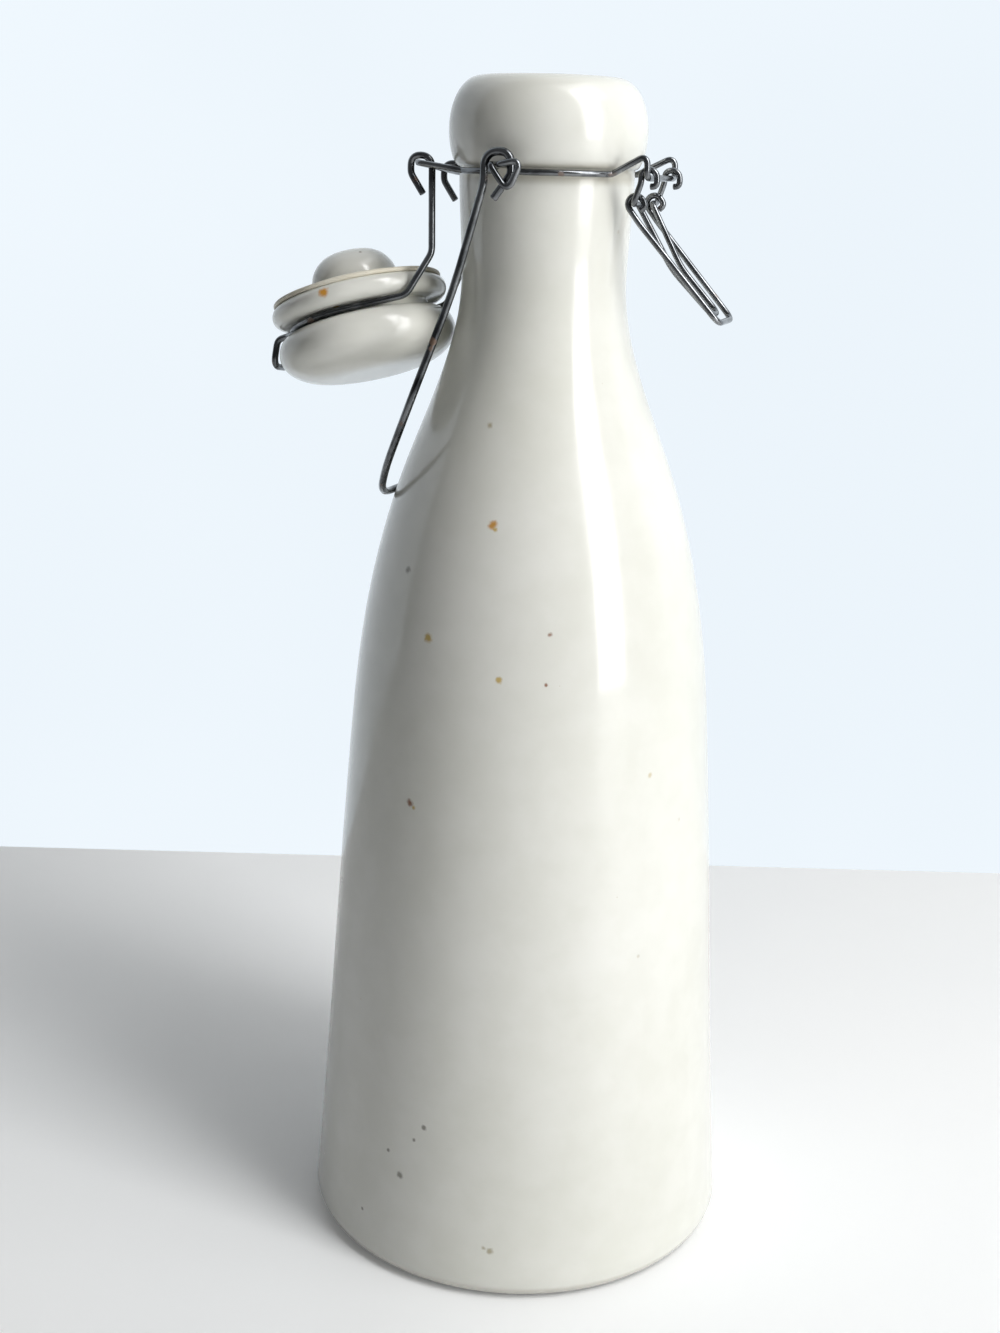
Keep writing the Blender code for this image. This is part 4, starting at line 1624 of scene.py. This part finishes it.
@dataclass
class Studio:
    """The camera, the pale floor and backdrop, and the plain soft light."""

    camera_place: Point3 = (0.12577, -0.38708, 0.2644)
    heading: float = math.radians(19.1)
    pitch: float = math.radians(16.3)
    roll: float = math.radians(1.55)
    focal_share: float = 1696.0 / 1333.0
    sensor_height: float = 24.0
    nearest: float = 10.0 * MM
    floor_colour: Colour = (0.92, 0.925, 0.92)
    floor_roughness: float = 0.45
    floor_lift: float = 0.13
    patch_shade: Colour = (0.965, 0.97, 0.975)
    stage_half: float = 2.0
    backdrop_colour: Colour = (0.871, 0.939, 0.995)
    backdrop_shade: Colour = (0.35, 0.36, 0.37)
    backdrop_roughness: float = 0.9
    backdrop_distance: float = 0.222
    world_colour: Colour = (0.02, 0.021, 0.023)
    room_colour: Colour = (0.17, 0.176, 0.183)
    lamps: tuple[SoftLight, ...] = (
        SoftLight("key_lamp", (1.02, -0.36, 0.78), (0.0, 0.0, 0.21), (0.48, 1.6), 16.5),
        SoftLight("top_lamp", (0.60, -0.10, 1.15), (0.0, 0.0, 0.0), (0.7, 0.7), 4.2),
    )

    def camera(self) -> None:
        """Places the camera where the photograph was taken from."""
        flat = Vector((-math.sin(self.heading), math.cos(self.heading), 0.0))
        up = Vector((0.0, 0.0, 1.0))
        forward = flat * math.cos(self.pitch) - up * math.sin(self.pitch)
        right = forward.cross(up).normalized()
        level = Matrix((right, right.cross(forward), -forward)).transposed()
        data = bpy.data.cameras.new("photo_camera")
        data.sensor_fit = "VERTICAL"
        data.sensor_height = self.sensor_height
        data.lens = self.sensor_height * self.focal_share
        data.clip_start = self.nearest
        camera = bpy.data.objects.new("photo_camera", data)
        bpy.context.scene.collection.objects.link(camera)
        turned = level @ Matrix.Rotation(self.roll, 3, "Z")
        camera.matrix_world = Matrix.Translation(self.camera_place) @ turned.to_4x4()
        bpy.context.scene.camera = camera

    def seen(self, desk: NodeDesk) -> Socket:
        """Tells the rays that see the background from those that carry light.

        Args:
            desk: The desk of the material or the world.

        Returns:
            One for rays that see it directly, in a reflection or through glass, or else nothing.
        """
        path = desk.add("ShaderNodeLightPath").outputs
        seen = desk.maths("MAXIMUM", path["Is Camera Ray"], path["Is Glossy Ray"])
        return desk.maths("MAXIMUM", seen, path["Is Transmission Ray"])

    def tone(self, desk: NodeDesk, colour: Colour) -> Socket:
        """Makes a plain colour faintly uneven.

        Args:
            desk: The material's desk.
            colour: The colour.

        Returns:
            The uneven colour.
        """
        place = desk.add("ShaderNodeTexCoord").outputs["Object"]
        patches = desk.ramp(desk.noise(place, 3.0, 3.0), (0.35, 0.65), (0.0, 1.0))
        darker = tuple(shade * part for shade, part in zip(self.patch_shade, colour))
        return desk.blend(patches, colour, darker)

    def floor_finish(self) -> bpy.types.Material:
        """A pale floor that takes the bottle's shadow and is lifted a little where it is seen.

        Returns:
            The material.
        """
        made, desk, shader = new_material("floor_finish")
        tone = self.tone(desk, self.floor_colour)
        lift = desk.blend(self.seen(desk), (0.0, 0.0, 0.0), tone)
        desk.tree.links.new(tone, shader.inputs["Base Color"])
        desk.tree.links.new(lift, shader.inputs["Emission Color"])
        shader.inputs["Emission Strength"].default_value = self.floor_lift
        shader.inputs["Roughness"].default_value = self.floor_roughness
        return made

    def backdrop_finish(self) -> bpy.types.Material:
        """A backdrop that shows its own pale colour in front, with nothing in the way from behind.

        Returns:
            The material.
        """
        made, desk, shader = new_material("backdrop_finish")
        shader.inputs["Base Color"].default_value = (*self.backdrop_shade, 1.0)
        shader.inputs["Roughness"].default_value = self.backdrop_roughness
        glow = {"Color": self.tone(desk, self.backdrop_colour), "Strength": 1.0}
        glow = desk.add("ShaderNodeEmission", glow).outputs[0]
        front = {0: self.seen(desk), 1: shader.outputs[0], 2: glow}
        front = desk.add("ShaderNodeMixShader", front).outputs[0]
        clear = desk.add("ShaderNodeBsdfTransparent").outputs[0]
        behind = desk.add("ShaderNodeNewGeometry").outputs["Backfacing"]
        both = desk.add("ShaderNodeMixShader", {0: behind, 1: front, 2: clear}).outputs[0]
        desk.tree.links.new(both, made.node_tree.nodes["Material Output"].inputs[0])
        return made

    def plane(self, name: str, corners: Sequence[Point3], finish: bpy.types.Material) -> None:
        """Adds one flat stage piece that faces the camera's heading.

        Args:
            name: Name of the piece.
            corners: Its corners.
            finish: Its material.
        """
        mesh = bpy.data.meshes.new(name)
        mesh.from_pydata(corners, [], [tuple(range(len(corners)))])
        mesh.materials.append(finish)
        piece = bpy.data.objects.new(name, mesh)
        bpy.context.scene.collection.objects.link(piece)
        piece.rotation_euler = (0.0, 0.0, self.heading)

    def world(self) -> None:
        """Sets the soft light that comes from all sides."""
        world = bpy.data.worlds.new("studio_world")
        world.use_nodes = True
        bpy.context.scene.world = world
        desk = NodeDesk(world.node_tree)
        colour = desk.blend(self.seen(desk), self.world_colour, self.room_colour)
        desk.tree.links.new(colour, world.node_tree.nodes["Background"].inputs["Color"])

    def build(self) -> None:
        """Builds the stage, the camera and the lights."""
        self.camera()
        self.world()
        half = self.stage_half
        floor = [(-half, -half, 0.0), (half, -half, 0.0), (half, half, 0.0), (-half, half, 0.0)]
        self.plane("floor", floor, self.floor_finish())
        far = self.backdrop_distance
        wall = [(-half, far, 0.0), (half, far, 0.0), (half, far, half), (-half, far, half)]
        self.plane("backdrop", wall, self.backdrop_finish())
        for lamp in self.lamps:
            lamp.build()
        bpy.context.scene.view_settings.view_transform = "Standard"


def main() -> None:
    """Builds every piece over the CAD frame, then the studio."""
    logging.basicConfig(level=logging.INFO)
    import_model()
    shop = EffectShop()
    glaze, rubber, steel = Glaze(shop), SealRubber(shop), DrawnSteel(shop)
    bottle = BottleBody()
    neck = NeckWire(bottle)
    pieces = [bottle.build(glaze), neck.build(steel)]
    pieces += SwingStopper(neck).build(glaze, rubber, steel)
    pieces.append(CarryHandle(neck).build(steel))
    pieces += WireLatch(neck).build(steel)
    for piece in pieces:
        LOG.info("%s: %d faces", piece.name, len(piece.data.polygons))
    Studio().build()


if __name__ == "__main__":
    main()
